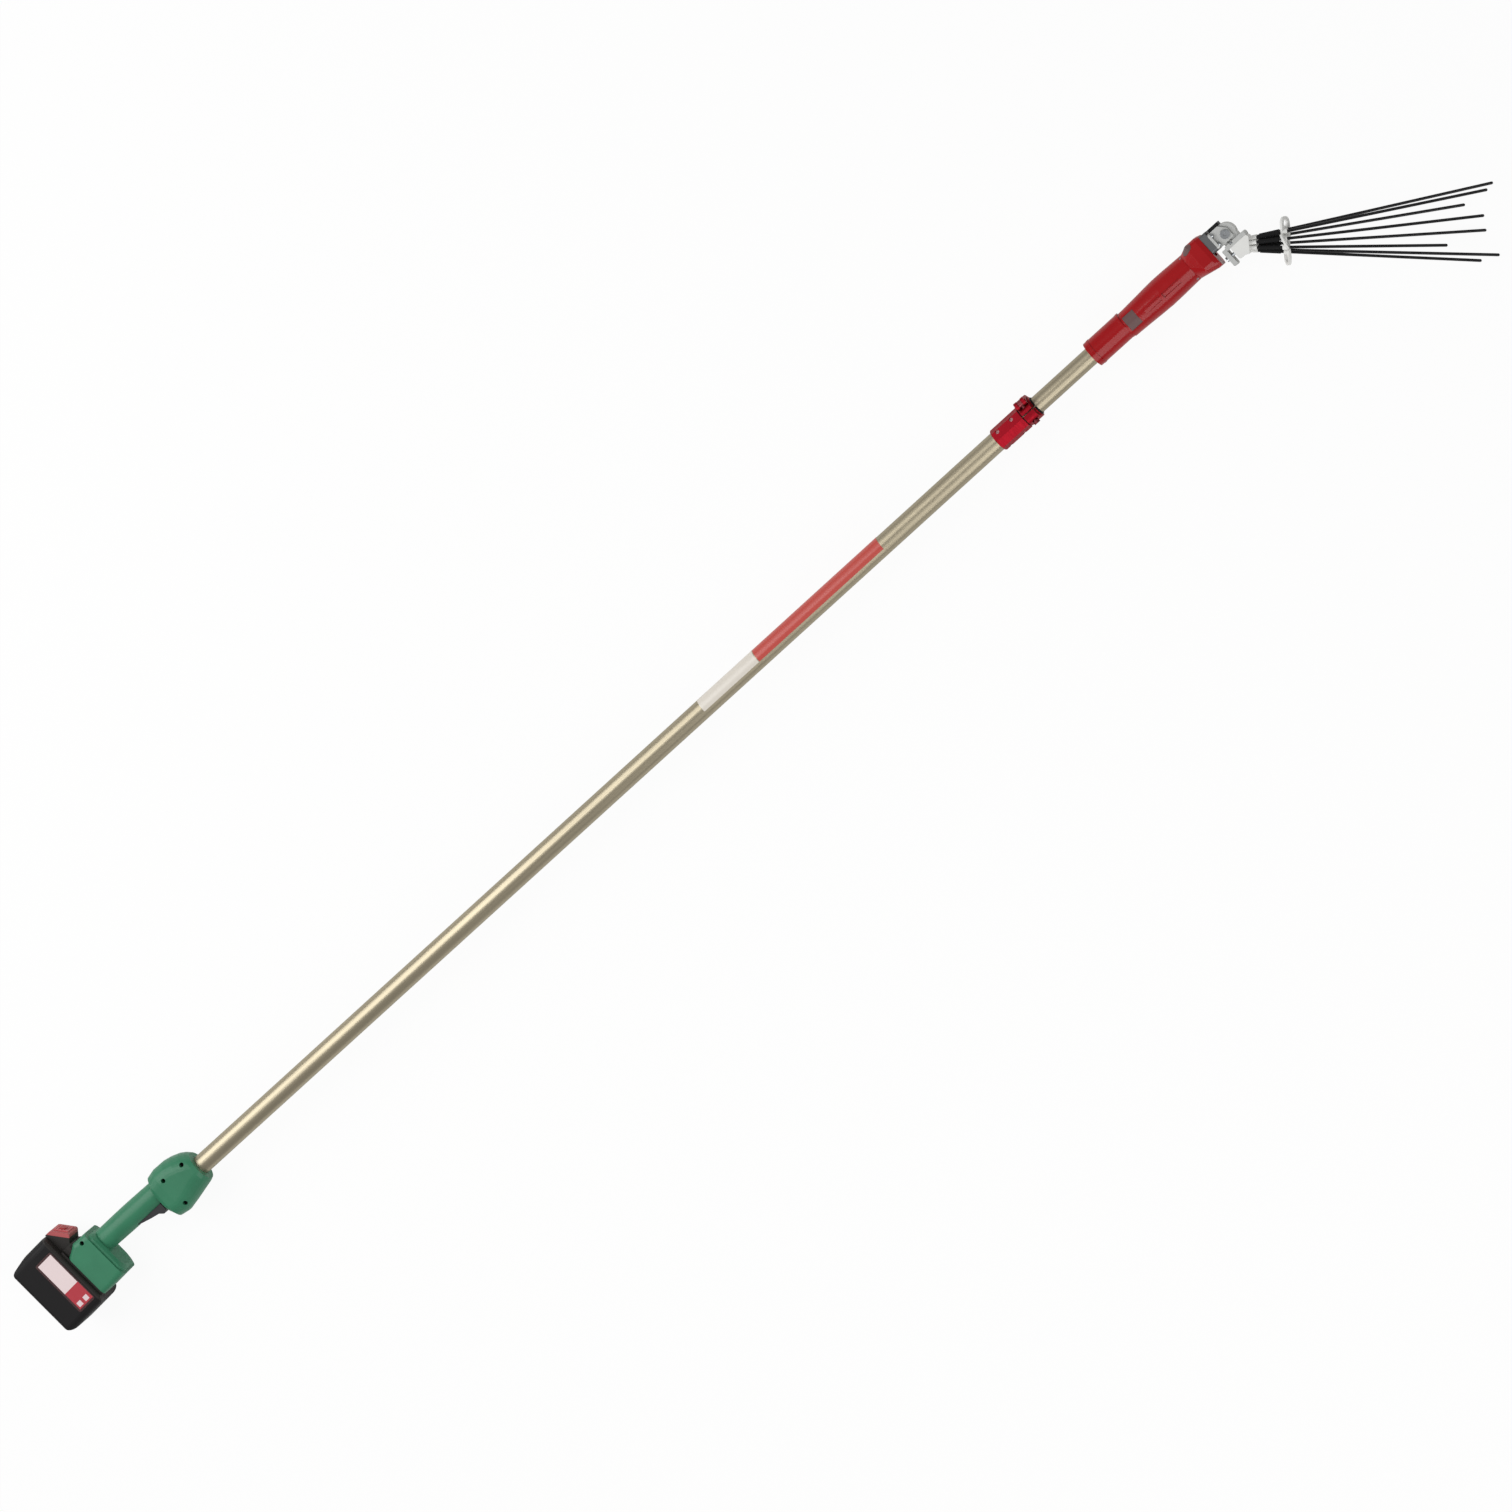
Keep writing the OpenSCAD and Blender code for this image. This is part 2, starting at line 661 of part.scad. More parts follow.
// A pan-head screw along Z with its head's seat at z = seat
module pan_screw(seat, depth) {
    difference() {
        union() {
            translate([0, 0, -depth]) cylinder(h = seat + depth, r = screw_d / 2);
            translate([0, 0, seat]) cylinder(h = 2.2, r = screw_head_r);
        }
        translate([0, 0, seat + 1]) cylinder(h = 2, r = 1.2, $fn = 6);
    }
}

module handle_screws() {
    color(dark) {
        foot_frame() for (p = foot_screws) translate([p.x, p.y, 0]) pan_screw(foot_seat, foot_seat - 2);
        for (p = front_screws) translate([p.x, p.y, 0]) pan_screw(front_seat, front_seat - 2);
    }
}

spring_pocket_d = 7.5;
spring_x = plunger_x - 11;
spring_foot = -4.5; // floor of the pocket in the trigger
module trigger() {
    tip = -15;
    color(dark) difference() {
        union() {
            plate_z(rounded([[trigger_x0, trigger_y - 4, 2], [trigger_x0, trigger_y, 0], [trigger_x1, trigger_y, 1],
                [trigger_x1, tip + 3, 3], [trigger_x1 - 5, tip, 2], [trigger_x1 - 11, tip + 5, 5],
                [trigger_x0 + 20, trigger_y - 9, 8]]), -trigger_w / 2, trigger_w / 2);
            translate([trigger_pivot.x, trigger_pivot.y, -trigger_w / 2]) cylinder(h = trigger_w, r = trigger_hub);
        }
        translate([trigger_pivot.x, trigger_pivot.y, -far / 2]) cylinder(h = far, r = trigger_pin_d / 2 + run_gap);
        along_y([spring_x, spring_foot, 0]) cylinder(h = far, r = spring_pocket_d / 2);
    }
}

module trigger_pin() {
    color(steel) translate([trigger_pivot.x, trigger_pivot.y, -pin_reach + 0.2])
        cylinder(h = 2 * pin_reach - 0.4, r = trigger_pin_d / 2);
}

module trigger_spring() {
    color(steel) along_y([spring_x, spring_foot, 0]) spring(6, 0.8, switch_y0 - spring_foot, 5);
}

module switch_body() {
    color(black) difference() {
        box([switch_x0, switch_y0, -switch_size.z / 2],
            [switch_x0 + switch_size.x, switch_y0 + switch_size.y, switch_size.z / 2]);
        along_y([plunger_x, switch_y0 - cut, 0]) cylinder(h = plunger_in + 6 + cut, r = plunger_d / 2 + run_gap);
    }
}

module switch_plunger() {
    tip = trigger_y + 2 * slide_gap;
    color(white) along_y([plunger_x, tip, 0]) cylinder(h = switch_y0 + plunger_in - tip, r = plunger_d / 2);
}

module control_board() {
    z = 22;
    color(board) foot_frame() {
        box([board_x, -20, -z], [board_x + board_t, 20, z]);
        for (p = [[-19, -14], [-19, 4], [-7, -12], [3, 6]])
            box([board_x + board_t, p.x, p.y], [board_x + board_t + 7, p.x + 9, p.y + 10]);
        along_x([board_x + board_t, 12, -12]) cylinder(h = 9, r = 4);
    }
}

block_half = 20;
module terminal_block() {
    color(dark) foot_frame() difference() {
        union() {
            box([x_foot + 1.5, channel_y0, -block_half], [x_foot + rail_h + slide_gap, channel_y0 + 8.5, block_half]);
            box([x_foot + rail_h, -28 + seat_gap, -18 + seat_gap], [x_roof + 1.5, -22 - seat_gap, 18 - seat_gap]);
        }
        for (z = slot_zs) box([x_foot + 3, channel_y0 + 1, z - blade_t / 2], [x_foot + rail_h - 1.5, far, z + blade_t / 2]);
    }
}

module contact_blades() {
    color(copper) foot_frame() for (z = slot_zs)
        box([x_foot + 3, channel_y0 + 1, z - blade_t / 2], [x_foot + rail_h - 1.5, rail_y0 + blade_len, z + blade_t / 2]);
}

lead_d = 2.4;
lead_z = 9;
module power_leads() {
    color(red) for (s = [-1, 1]) wire([[x_foot + 17.8, -25, 4 * s], [x_foot + 22, -25, 5 * s], [x_foot + 30, -22, 8 * s],
        [x_foot + 36, -8, 9.5 * s], [x_grip - 7, 6.5, lead_z * s], [x_grip + 4, grip_off, lead_z * s],
        [x_house - 4, grip_off, lead_z * s], [x_house + 4, 9, 8 * s], [x_tube - 7, 1, 3 * s], [x_tube - 2, 0, 1.8 * s],
        [x_tube + 9, 0, 1.8 * s]], lead_d, 6);
}

grommet_r = outer_d / 2 - tube_wall;
module tube_grommet() {
    color(black) {
        ring_x(x_tube - 2, x_tube, outer_d / 2, 4);
        ring_x(x_tube, x_tube + 10, grommet_r, 4);
    }
}

// ---------- Pole ----------

x_outer_end = x_clamp + sleeve_len - 8;
x_inner = x_clamp_end - hidden_len;
inner_in_head = 50;

module outer_tube() {
    color(gold) ring_x(x_tube, x_outer_end, outer_d / 2, outer_d / 2 - tube_wall);
}

module inner_tube() {
    color(gold) ring_x(x_inner, x_head + inner_in_head, inner_d / 2, inner_d / 2 - tube_wall);
}

label_lens = [95, 214];
x_label_2 = x_clamp - 196 - label_lens[1]; // the labels end this far short of the clamp
x_label = x_label_2 - 1 - label_lens[0];
module pole_label() {
    t = 0.25;
    color(white) intersection() {
        union() {
            ring_x(x_label, x_label + label_lens[0], outer_d / 2 + t, outer_d / 2 + 0.02);
            ring_x(x_label_2, x_label_2 + label_lens[1], outer_d / 2 + t, outer_d / 2 + 0.02);
        }
        box([0, -4, -big], [far * 9, big, big]);
    }
}

module guide_bush() {
    color(black) {
        ring_x(x_inner - 5, x_inner, outer_d / 2 - tube_wall - run_gap * 2, 5);
        ring_x(x_inner, x_inner + 12, inner_d / 2 - tube_wall, 5);
    }
}

// The lead coils up inside the outer tube and opens out when the pole is drawn out
coil_x0 = x_front + 40;
coil_x1 = x_inner - 22;
coil_d = 17;
coil_wire = 4.4;
module coil_cable() {
    turns = 26;
    steps = 8;
    r = (coil_d - coil_wire) / 2;
    color(black) wire(concat([[x_tube + 9.5, 0, 0], [coil_x0 - 16, 0, 0]],
        [for (i = [0 : turns * steps]) let (a = 360 * i / steps)
            [coil_x0 + (coil_x1 - coil_x0) * i / (turns * steps), r * sin(a), r * cos(a)]],
        [[coil_x1 + 12, 0, 0], [x_inner - 6, 0, 0]]), coil_wire, 6);
}

module head_cable() {
    color(black) along_x([x_inner - 6, 0, 0]) cylinder(h = x_motor - 8 - x_inner + 6, r = 2.5);
}

// ---------- Clamp ----------

sleeve_r = sleeve_af / 2 / cos(22.5); // to the corners
x_bolt = x_collar + collar_len / 2;
z_bolt = collar_d / 2 + bolt_d / 2 + 0.4;
jaw_hi = 9;
jaw_lo = -13;
jaw_r = 8;
lever_hub = 5.5;
lever_pin_d = 4;
y_lever = jaw_hi + lever_hub + slide_gap;
eye_r = 4.5;
eye_w = 6;
arm_r = collar_d / 2 + 1.5;
set_rows = [35, -85, 155];
set_xs = [9, 32];

// Children stand radially outwards, turned from +Z towards +Y
module radial(x, a) { translate([x, 0, 0]) rotate([-a, 0, 0]) children(); }

module clamp_body() {
    step = 1;
    color(anodised) difference() {
        union() {
            intersection() {
                along_x([x_clamp, 0, 0]) cylinder(h = sleeve_len, r = sleeve_r, $fn = 8);
                along_x([x_clamp, 0, 0]) cylinder(h = sleeve_len, r1 = sleeve_r - 1.2, r2 = sleeve_r + sleeve_len);
            }
            along_x([x_collar, 0, 0]) cylinder(h = collar_len, r = collar_d / 2);
            intersection() {
                along_x([x_clamp + sleeve_len - step, 0, 0]) cylinder(h = slit + 2 * step, r = collar_d / 2 - 0.5);
                box([0, -big, -big], [far * 9, big, -6]);
            }
            plate_x(rounded([[0, jaw_lo, 0], [z_bolt + 6, jaw_lo, jaw_r], [z_bolt + 6, jaw_hi, jaw_r - 1], [0, jaw_hi, 0]]),
                x_collar + 1.5, x_clamp_end - 1.5);
        }
        along_x([x_clamp - cut, 0, 0]) cylinder(h = x_outer_end - x_clamp + cut, r = outer_d / 2 + seat_gap);
        along_x([x_clamp, 0, 0]) cylinder(h = far, r = inner_d / 2 + slide_gap);
        along_x([x_collar - slit, 0, 0]) cylinder(h = far, r = inner_d / 2 + slide_gap + bush_wall + seat_gap);
        box([x_clamp + sleeve_len + cut / 2 - 0.5, -big, -6], [x_collar, big, big]);
        box([x_collar - cut, 0, 0], [x_clamp_end + cut, slit, big]);
        along_y([x_bolt, jaw_lo - cut, z_bolt]) cylinder(h = far, r = bolt_d / 2 + seat_gap);
        for (a = set_rows, x = set_xs) radial(x_clamp + x, a) cylinder(h = far, r = 2.5 + seat_gap);
    }
}

module clamp_set_screws() {
    color(steel) for (a = set_rows, x = set_xs) radial(x_clamp + x, a) difference() {
        translate([0, 0, outer_d / 2]) cylinder(h = sleeve_af / 2 - outer_d / 2 - 0.1, r = 2.5);
        translate([0, 0, outer_d / 2 + 0.6]) cylinder(h = far, r = 1.3, $fn = 6);
    }
}

module slide_bush() {
    r = inner_d / 2 + slide_gap;
    color(black) difference() {
        union() {
            ring_x(x_collar - slit + seat_gap, x_clamp_end, r + bush_wall, r);
            ring_x(x_clamp_end, x_clamp_end + 2, r + bush_wall * 0.6, r);
        }
        box([0, 0, 0], [far * 9, slit, big]);
    }
}

module clamp_bolt() {
    head_h = 4;
    color(steel) difference() {
        union() {
            along_y([x_bolt, jaw_lo, z_bolt]) cylinder(h = y_lever - jaw_lo, r = bolt_d / 2);
            along_y([x_bolt, jaw_lo - head_h, z_bolt]) cylinder(h = head_h, r = bolt_d * 0.85);
            along_x([x_bolt - eye_w / 2, y_lever, z_bolt]) cylinder(h = eye_w, r = eye_r);
        }
        along_x([0, y_lever, z_bolt]) cylinder(h = far * 9, r = lever_pin_d / 2 + run_gap);
        along_y([x_bolt, jaw_lo - head_h - cut, z_bolt]) cylinder(h = head_h / 2 + cut, r = bolt_d * 0.4, $fn = 6);
    }
}

module lever_pin() {
    color(steel) along_x([x_collar + 1, y_lever, z_bolt]) cylinder(h = collar_len - 2, r = lever_pin_d / 2);
}

module clamp_lever() {
    a0 = 46; // from +Y towards +Z
    a1 = -100;
    n = 24;
    color(red) difference() {
        union() {
            plate_x(concat([for (i = [0 : n]) let (a = a0 + (a1 - a0) * i / n) arm_r * [sin(a), cos(a)]],
                [for (i = [n : -1 : 0]) let (a = a0 + (a1 - a0) * i / n)
                    (arm_r + lever_t + (i == n ? -1 : 0)) * [sin(a), cos(a)]]), x_collar + 2, x_clamp_end - 2);
            along_x([x_collar + 2, y_lever, z_bolt]) cylinder(h = collar_len - 4, r = lever_hub);
        }
        along_x([0, y_lever, z_bolt]) cylinder(h = far * 9, r = lever_pin_d / 2 + run_gap);
        along_x([x_bolt - eye_w / 2 - slide_gap, y_lever, z_bolt]) cylinder(h = eye_w + 2 * slide_gap, r = 7);
    }
}

// ---------- Head ----------

motor_r = body_d / 2 - head_wall - 2.6;
motor_back = 87.5; // from the motor's rear to the nose
x_motor = x_nose - motor_back;
motor_len = 52;
x_motor_end = x_motor + motor_len;
x_gears = x_motor_end + 5;
ring_teeth = sun_teeth + 2 * planet_teeth;
planet_count = 3;
orbit = gear_mod * (sun_teeth + planet_teeth) / 2;
gear_ring_r = gear_mod * ring_teeth / 2 + gear_mod * 1.25 + 2;
shaft_r = 1.15;
out_shaft_r = 4;
x_bearing = x_nose + 3;
bearing_w = 6;
x_crank = x_pivot - 33.4;
yoke_r = 27.5;

// Outline of the motor section as [place along it, radius less than half its diameter]
body_form = [[0, 2.8], [0.1, 2.4], [0.25, 1.6], [0.4, 0.7], [0.55, 0], [0.7, 0.2], [0.85, 0.7], [1, 1.2]];
module body_solid(extra = 0) {
    along_x([x_socket_end, -head_off, 0]) rotate_extrude() polygon(concat([[0, 0]],
        [for (f = body_form) [body_d / 2 - f[1] + extra, f[0] * body_len]], [[0, body_len]]));
}

hatch_x = [x_motor - 17, x_motor];
hatch_half = 10;
hatch_in = body_d / 2 - 4.2;
module hatch_zone(gap) {
    box([hatch_x[0] - gap, -head_off - hatch_half - gap, 8], [hatch_x[1] + gap, -head_off + hatch_half + gap, far]);
}

pocket_in = body_d / 2 - 1.5;
pocket_spans = [[0.28, 0.52], [0.56, 0.82]]; // shares of the motor section's length
pocket_y = [-8, -1.5];
module head_housing() {
    color(red) difference() {
        union() {
            ring_x(x_head, x_socket_end, socket_d / 2, inner_d / 2 + seat_gap);
            along_x([x_head + 5, 0, 0]) cylinder(h = 3, r = socket_d / 2 + 0.5);
            along_x([x_socket_end - 3, 0, 0]) cylinder(h = 3, r = socket_d / 2 + 0.4);
            body_solid();
        }
        along_x([x_head - cut, 0, 0]) cylinder(h = inner_in_head + cut, r = inner_d / 2 + seat_gap);
        along_x([x_head, 0, 0]) cylinder(h = x_motor + cut - x_head, r = inner_d / 2 - 2.5);
        along_x([x_socket_end + 6, -head_off, 0]) cylinder(h = x_motor + cut - x_socket_end - 6, r = 12);
        along_x([x_motor, -head_off, 0]) cylinder(h = motor_len + cut, r = motor_r + seat_gap);
        along_x([x_motor_end, -head_off, 0]) cylinder(h = far, r = gear_ring_r + seat_gap);
        intersection() {
            hatch_zone(seat_gap);
            ring_x(x_socket_end, x_nose, far, hatch_in - seat_gap, -head_off);
        }
        intersection() {
            for (x = pocket_spans) box([x_socket_end + x[0] * body_len, pocket_y[0], 0],
                [x_socket_end + x[1] * body_len, pocket_y[1], far]);
            ring_x(x_socket_end, x_nose, far, pocket_in, -head_off);
        }
        for (a = nose_fix) translate([x_nose - 3, -head_off, 0]) rotate([-a, 0, 0]) cylinder(h = far, r = 1.5 + seat_gap);
    }
}

module hatch_plate() {
    color("#6b5a58") intersection() {
        hatch_zone(0);
        ring_x(x_socket_end, x_nose, body_d / 2 - 2.0, hatch_in, -head_off);
    }
}

module motor_can() {
    color(steel) {
        difference() {
            ring_x(x_motor, x_motor_end, motor_r, motor_r - 1.2, -head_off);
        }
        for (x = [x_motor, x_motor_end - 2.5]) ring_x(x, x + 2.5, motor_r - 1, shaft_r + run_gap, -head_off);
        for (s = [-1, 1]) intersection() {
            ring_x(x_motor + 8, x_motor_end - 8, motor_r - 1, motor_r - 4, -head_off);
            box([0, -head_off - 8, s > 0 ? 0 : -far], [far * 9, -head_off + 8, s > 0 ? far : 0]);
        }
    }
}

module motor_rotor() {
    slots = 5;
    r = motor_r - 4.6;
    color("#8d6b45") {
        along_x([x_motor + 0.5, -head_off, 0]) cylinder(h = x_gears + gear_face - x_motor - 0.5, r = shaft_r);
        difference() {
            along_x([x_motor + 12, -head_off, 0]) cylinder(h = motor_len - 24, r = r);
            for (i = [0 : slots - 1]) translate([0, -head_off, 0]) rotate([360 * i / slots, 0, 0])
                box([x_motor, -1, r - 6], [x_motor_end, 1, r + 1]);
        }
        along_x([x_motor + 4, -head_off, 0]) cylinder(h = 6, r = 4.5);
    }
}

// Tooth outline: six points to a tooth, narrower than half the pitch so that the mesh runs free
function teeth(z, m, out) =
    let (r = z * m / 2, p = 360 / z, tip = r + out * m * 0.8, root = r - out * m * 1.15)
    [for (i = [0 : z - 1]) each [for (q = [[-0.3, root], [-0.19, r], [-0.09, tip], [0.09, tip], [0.19, r], [0.3, root]])
        q[1] * [cos((i + q[0]) * p), sin((i + q[0]) * p)]]];

module gear(z, turn, bore) {
    rotate([0, 0, turn]) linear_extrude(gear_face) difference() {
        polygon(teeth(z, gear_mod, 1));
        circle(r = bore);
    }
}

module sun_gear() {
    color(steel) along_x([x_gears, -head_off, 0]) gear(sun_teeth, 0, shaft_r);
}

module ring_gear() {
    color(steel) along_x([x_gears - 0.5, -head_off, 0]) linear_extrude(gear_face + 1) difference() {
        circle(r = gear_ring_r);
        polygon(teeth(ring_teeth, gear_mod, -1));
    }
}

planet_pin_r = 1.5;
module planet(i) {
    a = 360 * i / planet_count;
    color(steel) along_x([x_gears, -head_off, 0]) rotate([0, 0, a]) translate([orbit, 0, 0])
        gear(planet_teeth, 180 / planet_teeth, planet_pin_r + run_gap);
}
module planet_1() { planet(0); }
module planet_2() { planet(1); }
module planet_3() { planet(2); }

module planet_carrier() {
    x0 = x_gears + gear_face + 0.6;
    crank_t = 2.6;
    color(dark) {
        along_x([x0, -head_off, 0]) cylinder(h = 4, r = orbit + 4);
        for (i = [0 : planet_count - 1]) translate([0, -head_off, 0]) rotate([-360 * i / planet_count, 0, 0])
            along_x([x_gears - 1, 0, -orbit]) cylinder(h = x0 - x_gears + 2, r = planet_pin_r);
        along_x([x0 + 3, -head_off, 0]) cylinder(h = x_crank - x0, r = out_shaft_r);
        along_x([x_crank, -head_off, 0]) cylinder(h = crank_t, r = crank_throw + 3.4);
        along_x([x_crank, -head_off, crank_throw]) cylinder(h = x_pivot - yoke_r - slide_gap - x_crank, r = 2.2);
    }
}

bearing_r = 11;
module output_bearing() {
    balls = 9;
    mid = (bearing_r + out_shaft_r) / 2;
    color(steel) {
        ring_x(x_bearing, x_bearing + bearing_w, bearing_r, mid + 1.2, -head_off);
        ring_x(x_bearing, x_bearing + bearing_w, mid - 1.2, out_shaft_r + run_gap, -head_off);
        for (i = [0 : balls - 1]) translate([x_bearing + bearing_w / 2, -head_off, 0]) rotate([360 * i / balls, 0, 0])
            translate([0, 0, mid]) sphere(r = 1.4, $fn = 12);
    }
}

// Nose: from the round motor section to a wide flat front
nose_hi = 22;
nose_lo = nose_hi - nose_w;
nose_z = 23;
module nose_form(inset) {
    hull() {
        along_x([x_nose, -head_off, 0]) cylinder(h = 3, r = body_d / 2 - 1.2 - inset, $fn = 32);
        plate_x(rect(-nose_z + inset, nose_lo + 3 + inset, nose_z - inset, nose_hi - inset, 9, 4), x_nose + 13, x_plate - 6);
        plate_x(rect(-nose_z + 2 + inset, nose_lo + inset, nose_z - 2 - inset, nose_hi - 2 - inset, 8, 4),
            x_plate - 6, x_plate - (inset > 0 ? 3 : 0));
    }
}

plate_screw_d = 3.2;
plate_spots = [for (y = [-4.5, 9], z = [-17, 17]) [y, z]];
nose_fix = [60, 180, 300]; // the three screws through the housing's rim
throat = [-12.5, 9.5, 10.5]; // opening for the yoke: y from, y to, half width
module head_nose() {
    color(red) difference() {
        union() {
            difference() {
                nose_form(0);
                nose_form(head_wall);
            }
            intersection() {
                nose_form(0.5);
                union() {
                    ring_x(x_nose, x_bearing + bearing_w + 1, body_d, bearing_r + seat_gap, -head_off);
                    for (p = plate_spots) along_x([x_plate - 14, p.x, p.y]) cylinder(h = 14, r = 4);
                }
            }
            ring_x(x_nose - 6, x_nose + 1, gear_ring_r, 13, -head_off);
        }
        along_x([x_nose - cut, -head_off, 0]) cylinder(h = 4, r = 9.5);
        along_x([x_nose + 2.8, -head_off, 0]) cylinder(h = 12, r = bearing_r + seat_gap);
        box([x_plate - 4, throat[0], -throat[2]], [x_plate + cut, throat[1], throat[2]]);
        for (p = plate_spots) along_x([x_plate - 13, p.x, p.y]) cylinder(h = 20, r = plate_screw_d / 2 + seat_gap);
        for (a = nose_fix) translate([x_nose - 3, -head_off, 0]) rotate([-a, 0, 0]) cylinder(h = far, r = 1.5 + seat_gap);
    }
}

module head_screws() {
    color(steel) {
        for (p = plate_spots) along_x([x_clevis + base_t, p.x, p.y]) cap_screw(plate_screw_d, 24);
        for (a = nose_fix) translate([x_nose - 3, -head_off, 0]) rotate([-a, 0, 0])
            translate([0, 0, body_d / 2 - 1.6]) difference() {
                union() {
                    translate([0, 0, -4.6]) cylinder(h = 4.6, r = 1.5);
                    translate([0, 0, -0.2]) cylinder(h = 0.6, r = 1.5);
                }
                cylinder(h = 2, r = 0.7, $fn = 6);
            }
    }
}

plate_hi = 18.5;
plate_lo = -9;
plate_z0 = 20;
module front_plate() {
    color("#6f7072") difference() {
        plate_x(rect(-plate_z0, plate_lo, plate_z0, plate_hi, 4), x_plate, x_clevis);
        box([x_plate - cut, -far, -throat[2]], [x_clevis + cut, throat[1], throat[2]]);
        for (p = plate_spots) along_x([x_plate - cut, p.x, p.y]) cylinder(h = 20, r = plate_screw_d / 2 + seat_gap);
    }
}

// ---------- Hub and fork ----------

cheek_hi = 13.6;
cheek_lo = -8.7;
cheek_z = clevis_gap / 2;
base_t = 3.5;
module clevis() {
    color(white) difference() {
        union() {
            for (s = [-1, 1]) plate_z(rounded([[x_clevis, cheek_lo, 0], [x_pivot + 7, cheek_lo, 2], [x_pivot + 7, 4.5, 1],
                [x_pivot - 1, cheek_hi, 2], [x_clevis, cheek_hi, 0]]),
                s * (cheek_z + cheek_t / 2) - cheek_t / 2, s * (cheek_z + cheek_t / 2) + cheek_t / 2);
            plate_x(rect(-plate_z0, cheek_lo, plate_z0, cheek_hi, 3), x_clevis, x_clevis + base_t);
        }
        box([x_clevis - cut, -far, -cheek_z], [x_clevis + base_t + cut, throat[1], cheek_z]);
        translate([x_pivot, 0, -far / 2]) cylinder(h = far, r = pivot_d / 2 + run_gap);
        for (p = plate_spots) along_x([x_clevis - cut, p.x, p.y]) cylinder(h = 20, r = plate_screw_d / 2 + seat_gap);
    }
}

module top_cover() {
    color(black) {
        plate_y(rect(x_clevis + base_t, -12, x_pivot + 2, 12, 2), cheek_hi, cheek_hi + 4.5);
    }
}

pin_reach_z = cheek_z + cheek_t;
module pivot_pin() {
    color(steel) difference() {
        union() {
            translate([x_pivot, 0, -pin_reach_z - 1.5]) cylinder(h = 2 * pin_reach_z + 1.5, r = pivot_d / 2);
            translate([x_pivot, 0, pin_reach_z]) cylinder(h = 2.2, r = 6);
            translate([x_pivot, 0, -pin_reach_z - 2]) cylinder(h = 2, r = 5.6);
        }
        translate([x_pivot, 0, pin_reach_z + 1]) cylinder(h = 3, r = 2.4, $fn = 6);
    }
}

lobe_r = 13.6;
rock_z = cheek_z - slide_gap;
flange_hi = -11.4;
flange_lo = -17.2;
flange_x0 = x_pivot - 12;
flange_x1 = x_pivot + 19;
flange_z = 14;
arm_half = 5;
slot_half = 2.2 + 0.15;
module rocker() {
    color("#c9c9c4") difference() {
        union() {
            intersection() {
                translate([x_pivot, 0, -rock_z]) cylinder(h = 2 * rock_z, r = lobe_r);
                box([x_pivot - 10.5, -far, -far], [far * 9, far, far]);
            }
            intersection() {
                box([x_pivot - yoke_r, -head_off - arm_half, -rock_z + 0.3], [x_pivot, -head_off + arm_half, rock_z - 0.3]);
                translate([x_pivot, 0, -rock_z]) cylinder(h = 2 * rock_z, r = yoke_r);
            }
            box([flange_x0 + 2, flange_lo, -rock_z], [x_pivot + 12, -6, rock_z]);
            plate_z(rounded([[flange_x0, flange_lo, 0], [flange_x1, flange_lo, 0], [flange_x1, flange_hi, 2],
                [flange_x0, flange_hi, 2]]), -flange_z, flange_z);
        }
        translate([x_pivot, 0, -far / 2]) cylinder(h = far, r = pivot_d / 2 + run_gap);
        box([x_pivot - far, -head_off - slot_half, -crank_throw - 3.2], [x_pivot - yoke_r + 7, -head_off + slot_half, crank_throw + 3.2]);
        block_screw_cuts();
    }
}

block_z = 14;
block_x0 = x_pivot - 7;
block_lo = -35.3;
exit = [x_pivot + 13, -29.5]; // where the fork's axis leaves the block
exit_half = ring_r + rod_d / 2 + 1.2;
function on_face(t) = exit + t * [sin(fork_bend), cos(fork_bend)];
block_spots = [[x_pivot - 2, 11], [x_pivot - 2, -11]];
block_screw_r = 2;
module block_screw_cuts() {
    for (p = block_spots) {
        along_y([p.x, flange_lo - 10, p.y]) cylinder(h = 40, r = block_screw_r + seat_gap);
        along_y([p.x, flange_hi - 2.6, p.y]) cylinder(h = 10, r = 3.6);
    }
    for (z = [-7, 7]) along_x([x_pivot - 20, -25, z]) cylinder(h = 24, r = block_screw_r + seat_gap);
}

// Local Z runs along the fork from the block's face, local Y to its +Y side
module fork_frame() { translate([exit.x, exit.y, 0]) rotate([0, 0, -fork_bend]) rotate([0, 90, 0]) children(); }

// Children are drawn along each rod's own Z, from the block's face
module each_rod() {
    fork_frame() for (i = [0 : rod_count - 1]) rotate([0, 0, 180 - rod_phase - 360 * i / rod_count])
        translate([ring_r, 0, 0]) rotate([0, rod_splay, 0]) { $rod = i; children(); }
}

rod_embed = 8;
stub_len = 9;
sleeve_d = 5.1;
sleeve_start = 12;
sleeve_end = 37;
module rod_block() {
    color(white) difference() {
        union() {
            plate_z(rounded([[block_x0, flange_lo, 0], [flange_x1 - 1, flange_lo, 0], [on_face(exit_half).x, on_face(exit_half).y, 1],
                [on_face(-exit_half).x, on_face(-exit_half).y, 1], [x_pivot + 1, block_lo, 3], [block_x0, block_lo, 3]]),
                -block_z, block_z);
            each_rod() translate([0, 0, -3]) cylinder(h = stub_len + 3, r = sleeve_d / 2, $fn = 20);
        }
        each_rod() translate([0, 0, -rod_embed]) cylinder(h = far, r = rod_d / 2, $fn = 24);
        block_screw_cuts();
    }
}

module rod_plate() {
    color("#d9d9d4") difference() {
        plate_z(rounded([[flange_x0 - 6, -13.6, 1], [flange_x0, -13.6, 0], [flange_x0, -37.7, 2.5], [flange_x0 - 6, -37.7, 2.5]]),
            -12, 12);
        for (z = [-7, 7]) along_x([x_pivot - 20, -25, z]) cylinder(h = 26, r = block_screw_r + seat_gap);
    }
}

